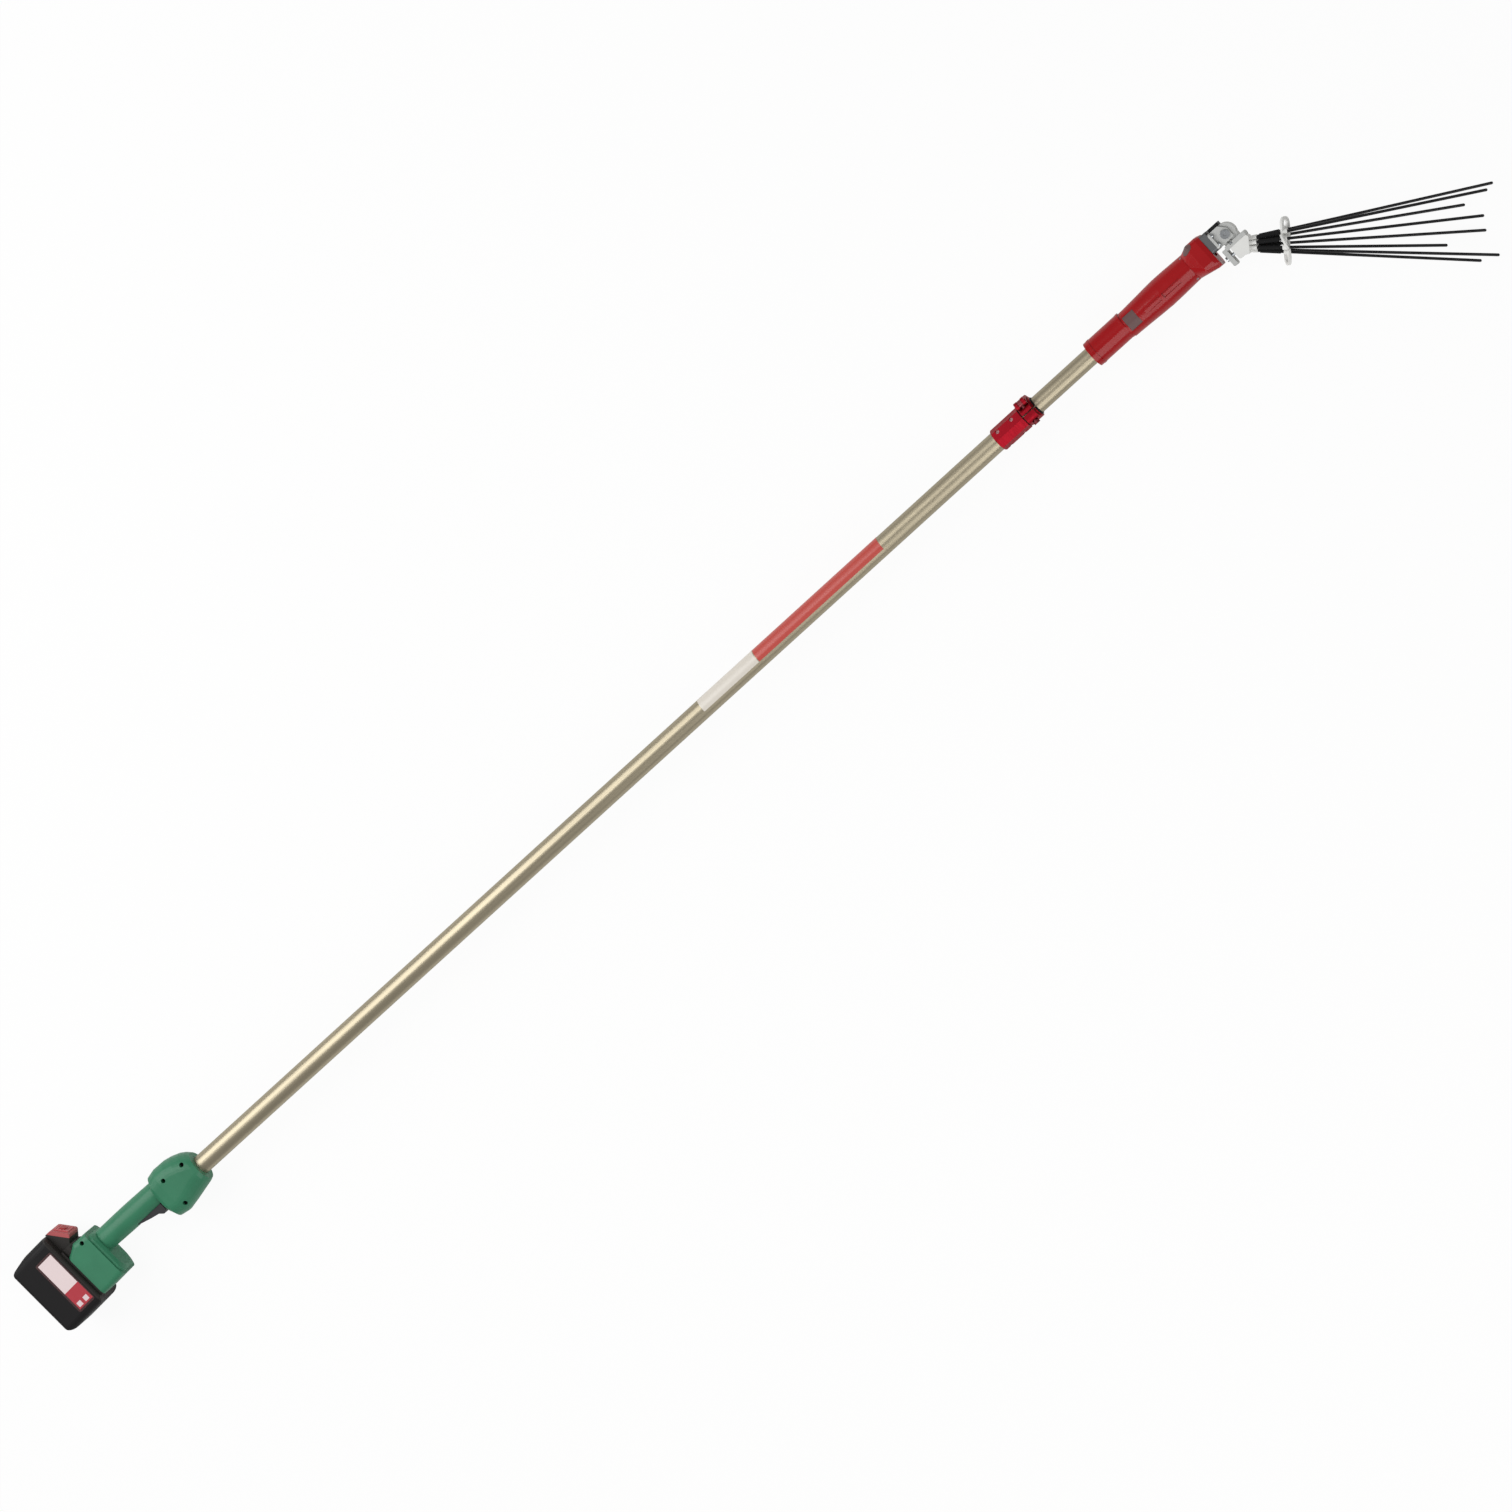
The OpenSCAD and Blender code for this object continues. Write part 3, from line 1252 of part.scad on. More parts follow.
module block_screws() {
    color(steel) {
        for (p = block_spots) along_y([p.x, flange_hi - 2.4, p.y]) {
            rotate([180, 0, 0]) cylinder(h = 12, r = block_screw_r);
            difference() {
                cylinder(h = 2.2, r = 3.4);
                translate([0, 0, 1]) cylinder(h = 3, r = 1.5, $fn = 6);
            }
        }
        for (z = [-7, 7]) translate([flange_x0 - 6, -25, z]) rotate([0, -90, 0]) difference() {
            union() {
                translate([0, 0, -22]) cylinder(h = 22, r = block_screw_r);
                cylinder(h = 2.4, r = 3.4);
            }
            translate([0, 0, 1]) cylinder(h = 3, r = 1.5, $fn = 6);
        }
    }
}

module rods() {
    color(black) each_rod() {
        translate([0, 0, -rod_embed]) cylinder(h = rod_embed + rod_lens[$rod], r = rod_d / 2, $fn = 24);
        translate([0, 0, rod_lens[$rod]]) sphere(r = rod_d / 2, $fn = 24);
    }
}

module rod_sleeves() {
    color(dark) each_rod() difference() {
        translate([0, 0, sleeve_start]) cylinder(h = sleeve_end - sleeve_start, r = sleeve_d / 2 + 0.1, $fn = 24);
        translate([0, 0, -cut]) cylinder(h = far, r = rod_d / 2, $fn = 24);
    }
}

petal_pitch = 24; // the spreader's petals lean to alternate sides of its plane
module spreader() {
    rim = 2;
    color(white) difference() {
        union() {
            fork_frame() translate([0, 0, disc_ahead]) for (i = [0 : 3]) rotate([0, 0, 90 * i])
                rotate([i % 2 == 0 ? petal_pitch : -petal_pitch, 0, 0]) difference() {
                    plate_z(rect(4, -10, disc_d / 2, 10, 9), 0, disc_t);
                    translate([disc_d / 2 - 8, 0, -cut]) cylinder(h = disc_t + 2 * cut, r = 4.5, $fn = 32);
                }
            fork_frame() translate([0, 0, disc_ahead - rim]) cylinder(h = disc_t + 2 * rim, r = 8);
            each_rod() translate([0, 0, disc_ahead - rim]) cylinder(h = disc_t + 2 * rim, r = rod_d / 2 + 1.6, $fn = 24);
        }
        each_rod() translate([0, 0, -cut]) cylinder(h = far, r = rod_d / 2 + seat_gap, $fn = 24);
        fork_frame() cylinder(h = far, r = 4);
    }
}

// ---------- Nodes ----------

handle_shell_right();
handle_shell_left();
handle_screws();
trigger();
trigger_pin();
trigger_spring();
switch_body();
switch_plunger();
control_board();
terminal_block();
contact_blades();
power_leads();
tube_grommet();
outer_tube();
pole_label();
clamp_body();
clamp_set_screws();
slide_bush();
clamp_bolt();
lever_pin();
clamp_lever();
pack_case();
pack_top();
pack_label();
battery_cells();
cell_holders();
bms_board();
pack_contacts();
pack_screws();
release_button();
latch_hook();
latch_spring();
coil_cable();
inner_tube();
guide_bush();
head_cable();
head_housing();
hatch_plate();
motor_can();
motor_rotor();
sun_gear();
ring_gear();
planet_1();
planet_2();
planet_3();
planet_carrier();
output_bearing();
head_nose();
head_screws();
front_plate();
clevis();
top_cover();
pivot_pin();
rocker();
rod_block();
rod_plate();
block_screws();
rods();
rod_sleeves();
spreader();
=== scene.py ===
# %% [markdown]
# # Cordless branch comb
# The tool lies on its side: a battery handle, a two-stage telescopic pole, a motor head and a fork
# of eight rods. The solids come from the CAD model as a fixed frame, in metres. This script dresses
# them: it sets the camera and light, gives every solid the finish of its real material, and adds
# the small visible details that are quicker to make here than in CAD.

# %% Load the frame
import math

import bmesh
import bpy
from mathutils import Matrix, Vector
from mathutils.bvhtree import BVHTree


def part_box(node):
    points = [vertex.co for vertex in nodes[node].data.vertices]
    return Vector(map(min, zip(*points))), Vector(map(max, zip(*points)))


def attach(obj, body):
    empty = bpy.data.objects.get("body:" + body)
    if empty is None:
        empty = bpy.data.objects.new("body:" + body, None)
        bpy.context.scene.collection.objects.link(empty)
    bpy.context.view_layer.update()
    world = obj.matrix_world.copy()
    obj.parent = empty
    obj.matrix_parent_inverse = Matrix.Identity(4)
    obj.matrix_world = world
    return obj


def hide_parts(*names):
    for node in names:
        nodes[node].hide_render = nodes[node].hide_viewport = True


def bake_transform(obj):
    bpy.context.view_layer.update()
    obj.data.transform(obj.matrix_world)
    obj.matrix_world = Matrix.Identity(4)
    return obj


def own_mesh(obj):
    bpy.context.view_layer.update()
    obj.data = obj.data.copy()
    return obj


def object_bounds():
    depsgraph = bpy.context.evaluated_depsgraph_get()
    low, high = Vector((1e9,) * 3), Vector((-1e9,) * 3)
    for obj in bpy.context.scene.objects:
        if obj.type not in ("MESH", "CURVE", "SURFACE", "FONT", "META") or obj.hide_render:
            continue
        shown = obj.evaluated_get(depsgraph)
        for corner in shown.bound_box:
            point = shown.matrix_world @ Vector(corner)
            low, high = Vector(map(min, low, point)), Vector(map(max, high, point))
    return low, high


MM = 0.001
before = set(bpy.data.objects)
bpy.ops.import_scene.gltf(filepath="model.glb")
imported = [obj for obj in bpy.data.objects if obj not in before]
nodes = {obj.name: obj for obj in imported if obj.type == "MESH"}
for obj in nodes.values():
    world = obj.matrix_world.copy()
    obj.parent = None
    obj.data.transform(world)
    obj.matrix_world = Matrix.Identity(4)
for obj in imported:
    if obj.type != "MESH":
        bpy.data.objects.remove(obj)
cad_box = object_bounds()

# %% [markdown]
# ## Camera
# The tool is over two metres long, so it is seen from about seven and a half metres away with a
# long lens, which keeps the pole's far end as thick as its near end. A camera can be turned by
# three angles in a row, but their order is easy to get wrong. Here it is turned by its own three
# directions instead. It looks down on the tool's side, leant a little along the pole, and it is
# rolled so that the pole runs up the picture from lower left to upper right.

# %% Camera
view_lean = math.radians(14)
pole_slope = math.radians(42.1052)
level = Vector((math.cos(view_lean), 0, -math.sin(view_lean)))
across_pole = Vector((0, 1, 0))
back = Vector((math.sin(view_lean), 0, math.cos(view_lean)))
right = math.cos(pole_slope) * level - math.sin(pole_slope) * across_pole
up = math.sin(pole_slope) * level + math.cos(pole_slope) * across_pole
aim = Vector((1.19465, -0.08867, 0))
distance = 7.54248  # metres
long_lens = bpy.data.cameras.new("long_lens")
long_lens.sensor_width = 36
long_lens.lens = 142.86
long_lens.clip_end = 50
camera = bpy.data.objects.new("long_lens", long_lens)
turn = Matrix((right, up, back)).transposed().to_4x4()
camera.matrix_world = Matrix.Translation(aim + distance * back) @ turn
bpy.context.collection.objects.link(camera)
bpy.context.scene.camera = camera
bpy.context.scene.view_settings.view_transform = "Standard"
print("camera at", tuple(round(v, 3) for v in camera.location))

# %% [markdown]
# ## Nodes and colours
# Every material below is built from a few shader nodes. One function adds a node, sets its values
# and makes its links, so that a material reads as a short list. Colours are written as they look
# on a screen, in sRGB hex, and turned to the linear values that the shader needs.

# %% Helpers for materials
def linear(code):
    parts = [int(code[i:i + 2], 16) / 255 for i in (1, 3, 5)]
    return (*[p / 12.92 if p <= 0.04045 else ((p + 0.055) / 1.055) ** 2.4 for p in parts], 1.0)


def add(tree, kind, inputs=(), **settings):
    made = tree.nodes.new("ShaderNode" + kind)
    for key, value in settings.items():
        setattr(made, key, value)
    for key, value in dict(inputs).items():
        if isinstance(value, bpy.types.NodeSocket):
            tree.links.new(value, made.inputs[key])
        else:
            made.inputs[key].default_value = value
    return made


def new_material(name):
    made = bpy.data.materials.new(name)
    made.use_nodes = True
    made.node_tree.nodes.clear()
    return made, made.node_tree


def close(tree, shader):
    add(tree, "OutputMaterial", {"Surface": shader.outputs["BSDF"]})


# %% [markdown]
# ## Moulded plastic
# The handle, the pack and the small levers are injection-moulded ABS or nylon. Such a surface is a
# little uneven: spark-eroded moulds leave a grain of about half a millimetre, and handling
# polishes it in soft patches a few centimetres wide. An image could hold this, but noise in the
# object's own coordinates needs no unwrapping and has the same size on every piece. Grain is drawn
# as a bump, and the patches vary the roughness and the shade. A Bevel node rounds the light on the
# edges, as a mould's radii do. A piece can have a second shot of another colour: it starts a given
# depth out along one direction.

# %% Moulded plastics
polish_patches = 28.0  # to the metre, each about 36 mm wide
handled, untouched = -0.06, 0.08  # how far the roughness swings either way


def moulded(name, code, rough=0.45, grain=0.6, depth=0.04, coat=0.0, spread=0.12, edge=0.6,
            shine=0.35, second=None):
    made, tree = new_material(name)
    place = add(tree, "TexCoord").outputs["Object"]
    fine = add(tree, "TexNoise", {"Vector": place, "Scale": 1 / (grain * MM), "Detail": 2.0})
    broad = add(tree, "TexNoise", {"Vector": place, "Scale": polish_patches, "Detail": 3.0})
    polish = add(tree, "MapRange", {"Value": broad.outputs["Fac"], "From Min": 0.3, "From Max": 0.7,
                                    "To Min": rough + handled, "To Max": rough + untouched})
    shade = add(tree, "MapRange", {"Value": broad.outputs["Fac"], "From Min": 0.25, "From Max": 0.75,
                                   "To Min": 1 - spread, "To Max": 1 + spread / 2})
    base = linear(code)[:3]
    if second:
        other, outward, start = second
        reach = add(tree, "VectorMath", {0: place, 1: outward}, operation="DOT_PRODUCT")
        beyond = add(tree, "Math", {0: reach.outputs["Value"], 1: start}, operation="GREATER_THAN")
        shots = add(tree, "Mix", {"Factor": beyond.outputs[0], "A": linear(code), "B": linear(other)},
                    data_type="RGBA")
        base = shots.outputs["Result"]
    tint = add(tree, "VectorMath", {0: base, "Scale": shade.outputs["Result"]}, operation="SCALE")
    round_edge = add(tree, "Bevel", {"Radius": edge * MM}, samples=4)
    bump = add(tree, "Bump", {"Height": fine.outputs["Fac"], "Strength": 0.35, "Distance": depth * MM,
                              "Normal": round_edge.outputs["Normal"]})
    skin = add(tree, "BsdfPrincipled", {
        "Base Color": tint.outputs["Vector"], "Roughness": polish.outputs["Result"],
        "Normal": bump.outputs["Normal"], "Coat Weight": coat, "Coat Roughness": 0.12, "IOR": 1.5,
        "Specular IOR Level": shine})
    close(tree, skin)
    return made


green_abs = moulded("green_moulded_abs", "#357d5c", rough=0.42, coat=0.1)
black_nylon = moulded("black_glass_filled_nylon", "#191819", rough=0.5, shine=0.2)
dark_nylon = moulded("dark_grey_nylon", "#323234", rough=0.5)
red_abs = moulded("red_gloss_abs", "#a8040d", rough=0.3, grain=1.4, depth=0.02, coat=0.35,
                  spread=0.08, edge=1.0, shine=0.15)
pale_red = moulded("pale_red_button_abs", "#c4585c", rough=0.42, spread=0.05)
white_nylon = moulded("white_nylon", "#f2f2ef", rough=0.45, spread=0.05)
# The hatch plate and the shoulder lens are pieces, but their grey-brown is painted reflection: the dull
# patch that the glossy red head mirrors on those flats.
reflection_grey = moulded("grey_painted_reflection_abs", "#6b4f4e", rough=0.35)
print("moulded plastics made")

# %% [markdown]
# ## The pack's top and its red corner
# The pack sits on the handle's foot with a lean of three degrees, and the face that holds the
# release button slants by 38 degrees more. The corner of the pack's top round the button is
# moulded in a pale red as a second shot, and its edge runs parallel to the button's face. A
# separate red piece would need a seam. Here the same solid changes colour past one plane.

# %% Two-shot plastic of the pack's top
foot_tilt = math.radians(3)
button_lean = math.radians(38) + foot_tilt
button_facing = Vector((math.cos(button_lean), math.sin(button_lean), 0))
red_corner_start = 93.5 * MM  # from the origin, the way the button faces
strip_nylon = moulded("dark_brown_black_nylon", "#2c2927", rough=0.5, shine=0.25,
                      second=("#b65a5c", button_facing, red_corner_start))
print("button faces", tuple(round(v, 3) for v in button_facing))

# %% [markdown]
# ## Anodised aluminium and the other metals
# The tubes are drawn aluminium with a gold anodised skin. Drawing leaves hair lines along the
# tube, so the reflection stays sharp round the tube and smears a little along it. The shader's
# anisotropy could do that, but it needs a direction on every face. A noise that is stretched along
# X gives the lines with no such help. The clamp is machined and dyed red, with finer turning marks.
# Cast, blasted and plated pieces have marks that are the same each way. The three numbers of
# `marks` are counts to the metre along X, Y and Z, so 900 are 1.1 mm apart. Real ones are finer,
# and these are as coarse as they need to be to show.

# %% Metals
tint_patches = 11.0  # to the metre, each about 90 mm wide
smooth_line, dull_line = -0.05, 0.07


def metal(name, code, rough=0.3, marks=(3.0, 900.0, 900.0), depth=0.006, spread=0.1):
    made, tree = new_material(name)
    place = add(tree, "TexCoord").outputs["Object"]
    stretched = add(tree, "Mapping", {"Vector": place, "Scale": marks})
    hair = add(tree, "TexNoise", {"Vector": stretched.outputs["Vector"], "Scale": 1.0, "Detail": 3.0})
    broad = add(tree, "TexNoise", {"Vector": place, "Scale": tint_patches, "Detail": 2.0})
    polish = add(tree, "MapRange", {"Value": hair.outputs["Fac"], "From Min": 0.3, "From Max": 0.7,
                                    "To Min": rough + smooth_line, "To Max": rough + dull_line})
    shade = add(tree, "MapRange", {"Value": broad.outputs["Fac"], "From Min": 0.3, "From Max": 0.7,
                                   "To Min": 1 - spread, "To Max": 1.0})
    tint = add(tree, "VectorMath", {0: linear(code)[:3], "Scale": shade.outputs["Result"]},
               operation="SCALE")
    round_edge = add(tree, "Bevel", {"Radius": 0.3 * MM}, samples=4)
    bump = add(tree, "Bump", {"Height": hair.outputs["Fac"], "Strength": 0.3, "Distance": depth * MM,
                              "Normal": round_edge.outputs["Normal"]})
    skin = add(tree, "BsdfPrincipled", {
        "Base Color": tint.outputs["Vector"], "Metallic": 1.0, "Roughness": polish.outputs["Result"],
        "Normal": bump.outputs["Normal"]})
    close(tree, skin)
    return made


def small_steel(name, code, rough):
    return metal(name, code, rough=rough, marks=(150.0, 150.0, 150.0), spread=0.06)


gold_tube = metal("gold_anodised_tube", "#b0a68f", rough=0.38, depth=0.0012, spread=0.06)
red_clamp = metal("red_anodised_clamp", "#a01b28", rough=0.42, marks=(500.0, 60.0, 60.0), depth=0.003)
cast_silver = metal("painted_cast_zinc", "#cbccca", rough=0.45, marks=(200.0, 200.0, 200.0),
                    spread=0.05)
plate_grey = metal("bead_blasted_plate", "#6d6e70", rough=0.5, marks=(600.0, 600.0, 600.0))
copper_strip = metal("tinned_copper", "#c27b45", rough=0.35, marks=(100.0, 400.0, 100.0))
winding = metal("enamelled_copper_winding", "#8d5f35", rough=0.4, marks=(30.0, 1200.0, 1200.0),
                depth=0.05)
# The set screws' pale pink is a painted highlight: the glint of bare steel with the red clamp mirrored in
# it, put into its colour.
glint_pink_steel = small_steel("pink_glint_painted_steel", "#d09a9c", 0.35)
red_steel = small_steel("red_lacquered_bolt", "#8e4448", 0.4)
black_steel = small_steel("blackened_steel", "#1b1b1c", 0.45)
zinc_steel = small_steel("zinc_plated_steel", "#a9acaf", 0.28)
print("metals made")

# %% [markdown]
# ## Rubber, rods, boards and cells
# The rods are pultruded carbon fibre: dark, with a faint lengthwise sheen. Sleeves, grommet and
# leads are matt rubber. The boards are green laminate, and the cells wear a blue shrink wrap. All
# of them are near enough to a moulded skin to be made by the same function, with their own grain.

# %% Other finishes
rubber = moulded("matt_black_rubber", "#171718", rough=0.75, grain=0.9, depth=0.05, shine=0.2)
carbon_rod = moulded("pultruded_carbon_rod", "#101012", rough=0.32, grain=0.8, depth=0.03, coat=0.1,
                     edge=0.2, shine=0.25)
laminate = moulded("green_laminate", "#2d6b46", rough=0.35, grain=1.5)
shrink_wrap = moulded("blue_shrink_wrap", "#4a78a8", rough=0.3, grain=3.0)
print("rubber, rod, board and cell finishes made")

# %% [markdown]
# ## Printed labels
# The pack and the pole carry film labels. They hold fields of colour and no words or signs. Each
# field is a span in millimetres along one or two axes, so a chain of Compare nodes mixes it over
# the ground colour. Separate thin plates could show the fields too, but a print has no thickness.
# Positions are read in Object coordinates, which are the tool's own metres. The pack leans by
# three degrees about the plane where it meets the handle, so a Mapping node first turns its
# coordinates square with the label.

# %% Label film
def film(name, ground, fields, tilt=0.0, shift=0.0):
    made, tree = new_material(name)
    seen = add(tree, "TexCoord").outputs["Object"]
    place = add(tree, "Mapping", {"Vector": seen, "Location": (0, shift, 0), "Rotation": (0, 0, tilt)})
    axes = add(tree, "SeparateXYZ", {"Vector": place.outputs[0]})
    colour = add(tree, "RGB")
    colour.outputs[0].default_value = linear(ground)
    last = colour.outputs[0]
    for code, spans in fields:
        inside = None
        for axis, (low, high) in spans.items():
            middle, half = (low + high) / 2 * MM, (high - low) / 2 * MM
            hit = add(tree, "Math", {0: axes.outputs[axis], 1: middle, 2: half}, operation="COMPARE")
            hit = hit.outputs[0]
            if inside is not None:
                hit = add(tree, "Math", {0: inside, 1: hit}, operation="MULTIPLY").outputs[0]
            inside = hit
        mixed = add(tree, "Mix", {"Factor": inside, "A": last, "B": linear(code)}, data_type="RGBA")
        last = mixed.outputs["Result"]
    grain = add(tree, "TexNoise", {"Vector": place.outputs[0], "Scale": 700.0})
    bump = add(tree, "Bump", {"Height": grain.outputs["Fac"], "Strength": 0.2, "Distance": 0.01 * MM})
    skin = add(tree, "BsdfPrincipled", {"Base Color": last, "Roughness": 0.35,
                                        "Normal": bump.outputs["Normal"], "Coat Weight": 0.3,
                                        "Coat Roughness": 0.2})
    close(tree, skin)
    return made


foot_face = 67 * MM  # along X, where the pack meets the handle's foot
square, square_foot = 7.0, -29.8  # millimetres: two small pale squares in the red field
pack_fields = [("#e9d6d6", {"X": (35.5, 60.0), "Y": (-4.0, 45.5)}),
               ("#b22a38", {"X": (35.5, 60.5), "Y": (-32.0, -4.0)})]
pack_fields += [("#e3cdd0", {"X": (left, left + square), "Y": (square_foot, square_foot + square)})
                for left in (37.8, 49.5)]
pack_film = film("pack_label_film", "#3a1013", pack_fields, tilt=-foot_tilt,
                 shift=foot_face * math.tan(foot_tilt))
pole_film = film("pole_label_film", "#e4ddd2", [("#c5483e", {"X": (1282.5, 1600.0)})])
print("label fields on the pack:", len(pack_fields))

# %% [markdown]
# ## Which solid gets which finish
# A real tool is made of a few materials that come back in many pieces. So one table names each
# finish and the solids that wear it, and the loop below it can tell if a solid was forgotten.

# %% Dress every solid
finishes = {
    green_abs: ["handle_shell_right", "handle_shell_left"],
    black_nylon: ["switch_body", "slide_bush", "pack_case", "guide_bush", "top_cover"],
    strip_nylon: ["pack_top"],
    dark_nylon: ["trigger", "terminal_block", "cell_holders", "latch_hook"],
    pale_red: ["release_button"],
    red_abs: ["head_housing", "head_nose"],
    white_nylon: ["switch_plunger", "rod_block", "spreader"],
    # painted reflection: the hatch plate's grey-brown
    reflection_grey: ["hatch_plate"],
    gold_tube: ["outer_tube", "inner_tube"],
    red_clamp: ["clamp_body", "clamp_lever", "lever_pin"],
    # painted highlight: the set screws' pink stands for their glint
    glint_pink_steel: ["clamp_set_screws"],
    red_steel: ["clamp_bolt"],
    cast_silver: ["clevis", "rod_plate", "rocker"],
    plate_grey: ["front_plate"],
    black_steel: ["handle_screws"],
    zinc_steel: ["trigger_pin", "trigger_spring", "pack_screws", "latch_spring", "motor_can",
                 "sun_gear", "ring_gear", "planet_1", "planet_2", "planet_3", "planet_carrier",
                 "output_bearing", "head_screws", "pivot_pin", "block_screws"],
    copper_strip: ["contact_blades", "pack_contacts"],
    winding: ["motor_rotor"],
    rubber: ["power_leads", "tube_grommet", "coil_cable", "head_cable", "rod_sleeves"],
    carbon_rod: ["rods"],
    laminate: ["control_board", "bms_board"],
    shrink_wrap: ["battery_cells"],
    pack_film: ["pack_label"],
    pole_film: ["pole_label"],
}
dressed = set()
for material, names in finishes.items():
    for name in names:
        mesh = nodes[name].data
        mesh.materials.clear()
        mesh.materials.append(material)
        dressed.add(name)
print("undressed solids:", sorted(set(nodes) - dressed))

# %% [markdown]
# ## Thumb pad on the button
# The pad is a low oval dome of soft rubber in the middle of the release button, across its grip
# ribs. A squashed ball would be rounder than the real pad, which has a flat top and a soft rim. So
# a circle is filled, drawn out, bevelled at its rim and stretched to an oval. It is then laid on
# the slanted face, whose direction is known, and let into it a little so that no gap shows.

# %% Helpers for small domed pieces
def domed_oval(radius, stretch, height, rim, sides=40):
    disc = bmesh.new()
    bmesh.ops.create_circle(disc, cap_ends=True, segments=sides, radius=radius)
    raised = bmesh.ops.extrude_face_region(disc, geom=disc.faces[:])["geom"]
    top = [v for v in raised if isinstance(v, bmesh.types.BMVert)]
    bmesh.ops.translate(disc, verts=top, vec=(0, 0, height))
    rim_edges = [e for e in raised if isinstance(e, bmesh.types.BMEdge)]
    bmesh.ops.bevel(disc, geom=rim_edges, offset=rim, segments=4, profile=0.5, affect="EDGES",
                    material=-1)
    bmesh.ops.recalc_face_normals(disc, faces=disc.faces[:])
    bmesh.ops.scale(disc, vec=(*stretch, 1.0), verts=disc.verts)
    return disc


def lay(disc, centre, across, beside, outward):
    turned = Matrix((across, beside, outward)).transposed().to_4x4()
    bmesh.ops.transform(disc, matrix=Matrix.Translation(centre) @ turned, verts=disc.verts)


def shaped(name, form, material, body):
    mesh = bpy.data.meshes.new(name)
    form.to_mesh(mesh)
    form.free()
    mesh.materials.append(material)
    piece = bpy.data.objects.new(name, mesh)
    bpy.context.collection.objects.link(piece)
    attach(piece, body)
    return piece


# %% Thumb pad
pad_from_corner = Vector((6.2 * MM, 7.2 * MM, 0))
pad_sunk = 0.3 * MM
button_high = Vector(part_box("release_button")[1])
pad_centre = Vector((button_high.x, button_high.y, 0)) - pad_from_corner
pad = domed_oval(radius=5.0 * MM, stretch=(1.0, 1.5), height=1.7 * MM, rim=0.9 * MM)
upright = Vector((0, 0, 1))
lay(pad, pad_centre - pad_sunk * button_facing, button_facing.cross(upright), upright, button_facing)
pad_rubber = moulded("dark_red_soft_pad", "#a00a15", rough=0.38, grain=0.8, depth=0.02)
thumb_pad = shaped("button_pad", pad, pad_rubber, "button")
print("thumb pad faces:", len(thumb_pad.data.polygons))

# %% [markdown]
# ## Lens on the head's shoulder
# An oval lens is let into the shoulder where the housing widens to its nose. Its grey-brown is
# painted reflection: the dull oval that the glossy shoulder mirrors there. The shoulder is curved
# both ways, so a flat lens would stand off it. The lens starts as a flat disc with a fine mesh.
# Each vertex is then dropped straight on the housing's skin from outside, and its own height above
# the disc's foot is added. The drop starts outside because the housing is hollow: the nearest skin
# could be the inner one.

# %% Shoulder lens
lens_behind_edge, lens_aside, lens_raised = 18 * MM, 16 * MM, 17.5 * MM
lens_sunk = 0.4 * MM
drop_height = 30 * MM
nose_low = Vector(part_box("head_nose")[0])
lens_centre = Vector((nose_low.x + lens_behind_edge, lens_aside, lens_raised))
lens_facing = Vector((-0.45, 0.55, 0.70)).normalized()
lens = domed_oval(radius=5.5 * MM, stretch=(1.55, 1.0), height=1.2 * MM, rim=0.6 * MM)
hubs = bmesh.ops.poke(lens, faces=[f for f in lens.faces if len(f.verts) > 4])["verts"]
bmesh.ops.subdivide_edges(lens, edges=[e for hub in hubs for e in hub.link_edges], cuts=3)
along = (Vector((1, 0, 0)) - lens_facing * lens_facing.x).normalized()
lay(lens, lens_centre, along, lens_facing.cross(along), lens_facing)
nose_skin = BVHTree.FromObject(nodes["head_nose"], bpy.context.evaluated_depsgraph_get())
heights = {vert: (vert.co - lens_centre).dot(lens_facing) for vert in lens.verts}
for vert, height in heights.items():
    landed = nose_skin.ray_cast(vert.co + drop_height * lens_facing, -lens_facing)[0] or vert.co
    vert.co = landed + lens_facing * (height - lens_sunk)
# the lens wears the painted reflection grey
shoulder_lens = shaped("shoulder_lens", lens, reflection_grey, "inner_pole")
print("shoulder lens faces:", len(shoulder_lens.data.polygons))

# %% [markdown]
# ## Springs and coiled lead
# The two springs and the coiled lead change length as their joints travel, which rigid pieces
# can't show: the trigger and the button would cut through their springs. Each is shown here by a
# stand-in with the same shape. A spring's stand-in rides with the body that holds its foot, and
# the lead's stand-in stays where it is in the frame. The solids' meshes are loose triangles, so
# each copy is welded, and then gets back the shading it had at every corner.

# %% Springs and coiled lead
weld = 0.0001 * MM


def stand_in(name, node):
    mesh = nodes[node].data.copy()
    shading = [tuple(corner.vector) for corner in mesh.corner_normals]
    form = bmesh.new()
    form.from_mesh(mesh)
    bmesh.ops.remove_doubles(form, verts=form.verts, dist=weld)
    form.to_mesh(mesh)
    form.free()
    mesh.normals_split_custom_set(shading)
    piece = bpy.data.objects.new(name, mesh)
    bpy.context.collection.objects.link(piece)
    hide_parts(node)
    return piece


def give_way(name, node, body):
    spring = stand_in(name, node)
    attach(spring, body)
    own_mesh(spring)


give_way("trigger_return_spring", "trigger_spring", "handle")
give_way("button_return_spring", "latch_spring", "battery")
coil = stand_in("coiled_lead", "coil_cable")
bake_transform(coil)

# %% [markdown]
# ## Floor
# A plain pale floor lies just under the tool and shows its shadow. A lamp strong enough to make it
# white would also bleach the tool. So the floor glows, but only where it is seen straight or
# through something clear: the Light Path node tells which rays those are. To every other ray it is
# plain matt paint.

# %% Floor
def seen_straight(tree):
    rays = add(tree, "LightPath")
    either = add(tree, "Math", {0: rays.outputs["Is Camera Ray"], 1: rays.outputs["Is Transmission Ray"]},
                 operation="MAXIMUM")
    return either.outputs[0]


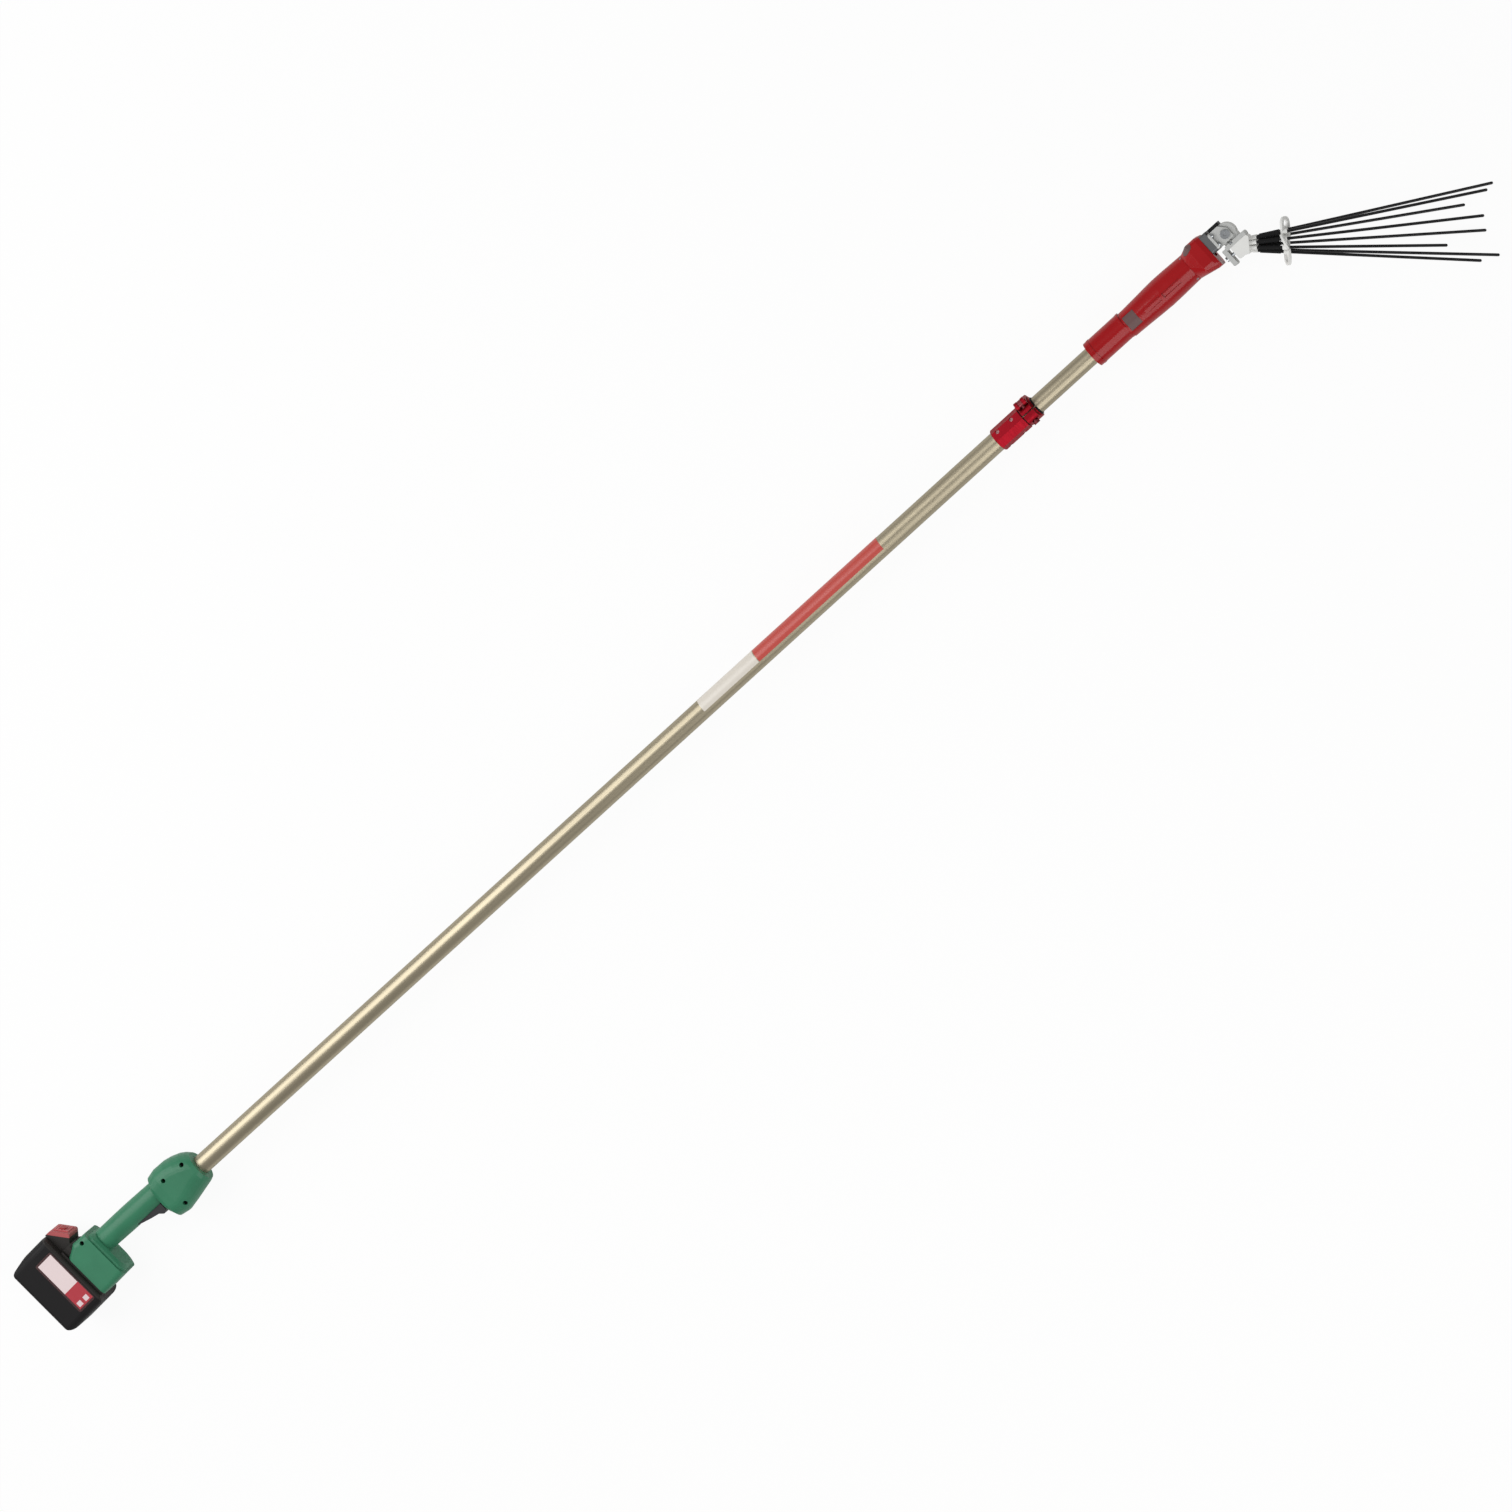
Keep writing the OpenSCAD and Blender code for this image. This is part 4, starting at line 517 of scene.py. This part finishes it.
floor_half, floor_gap, floor_middle = 12.0, 0.5 * MM, 1.1
floor_glow = 0.93
floor_level = cad_box[0][2] - floor_gap
ground = bmesh.new()
bmesh.ops.create_grid(ground, x_segments=1, y_segments=1, size=floor_half)
bmesh.ops.translate(ground, verts=ground.verts, vec=(floor_middle, 0, floor_level))
floor_mesh = bpy.data.meshes.new("floor")
ground.to_mesh(floor_mesh)
ground.free()
floor = bpy.data.objects.new("floor", floor_mesh)
bpy.context.collection.objects.link(floor)
floor_paint, tree = new_material("pale_floor")
share = add(tree, "Math", {0: seen_straight(tree), 1: floor_glow}, operation="MULTIPLY")
matt = add(tree, "BsdfDiffuse", {"Color": linear("#f6f6f4")})
glow = add(tree, "Emission", {"Color": (1, 1, 1, 1), "Strength": 1.0})
blend = add(tree, "MixShader", {0: share.outputs[0], 1: matt.outputs["BSDF"], 2: glow.outputs["Emission"]})
add(tree, "OutputMaterial", {"Surface": blend.outputs["Shader"]})
floor_mesh.materials.append(floor_paint)
print("floor at", round(floor_level / MM, 2), "mm")

# %% [markdown]
# ## Light
# The light falls from the upper side on the handle and from the lower side on the head, so there
# are two large soft lamps, each over its own half of the pole. A tube mirrors a lamp as a bright
# line along it, and the lamp's width sets the line's width. A pale world fills the shadows. It is
# white where it is seen straight, and weaker where it lights the tool or is mirrored in it, so
# that glossy colours stay deep.

# %% Lamps and world
def soft_lamp(name, place, target, size, power):
    light = bpy.data.lights.new(name, "AREA")
    light.shape = "RECTANGLE"
    light.size, light.size_y = size
    light.energy = power
    lamp = bpy.data.objects.new(name, light)
    lamp.location = place
    lamp.rotation_euler = (Vector(target) - Vector(place)).to_track_quat("-Z", "Y").to_euler()
    bpy.context.collection.objects.link(lamp)


soft_lamp("handle_lamp", (-0.5, 1.9, 2.4), target=(0.4, 0, 0), size=(2.4, 3.4), power=72)
soft_lamp("head_lamp", (1.6, -1.9, 2.4), target=(1.9, 0, 0), size=(1.1, 3.2), power=28)
fill_light = 0.38
world = bpy.data.worlds.new("pale_room")
bpy.context.scene.world = world
world.use_nodes = True
tree = world.node_tree
tree.nodes.clear()
strength = add(tree, "MapRange", {"Value": seen_straight(tree), "To Min": fill_light, "To Max": 1.0})
sky = add(tree, "Background", {"Color": (1, 1, 1, 1), "Strength": strength.outputs["Result"]})
add(tree, "OutputWorld", {"Surface": sky.outputs["Background"]})
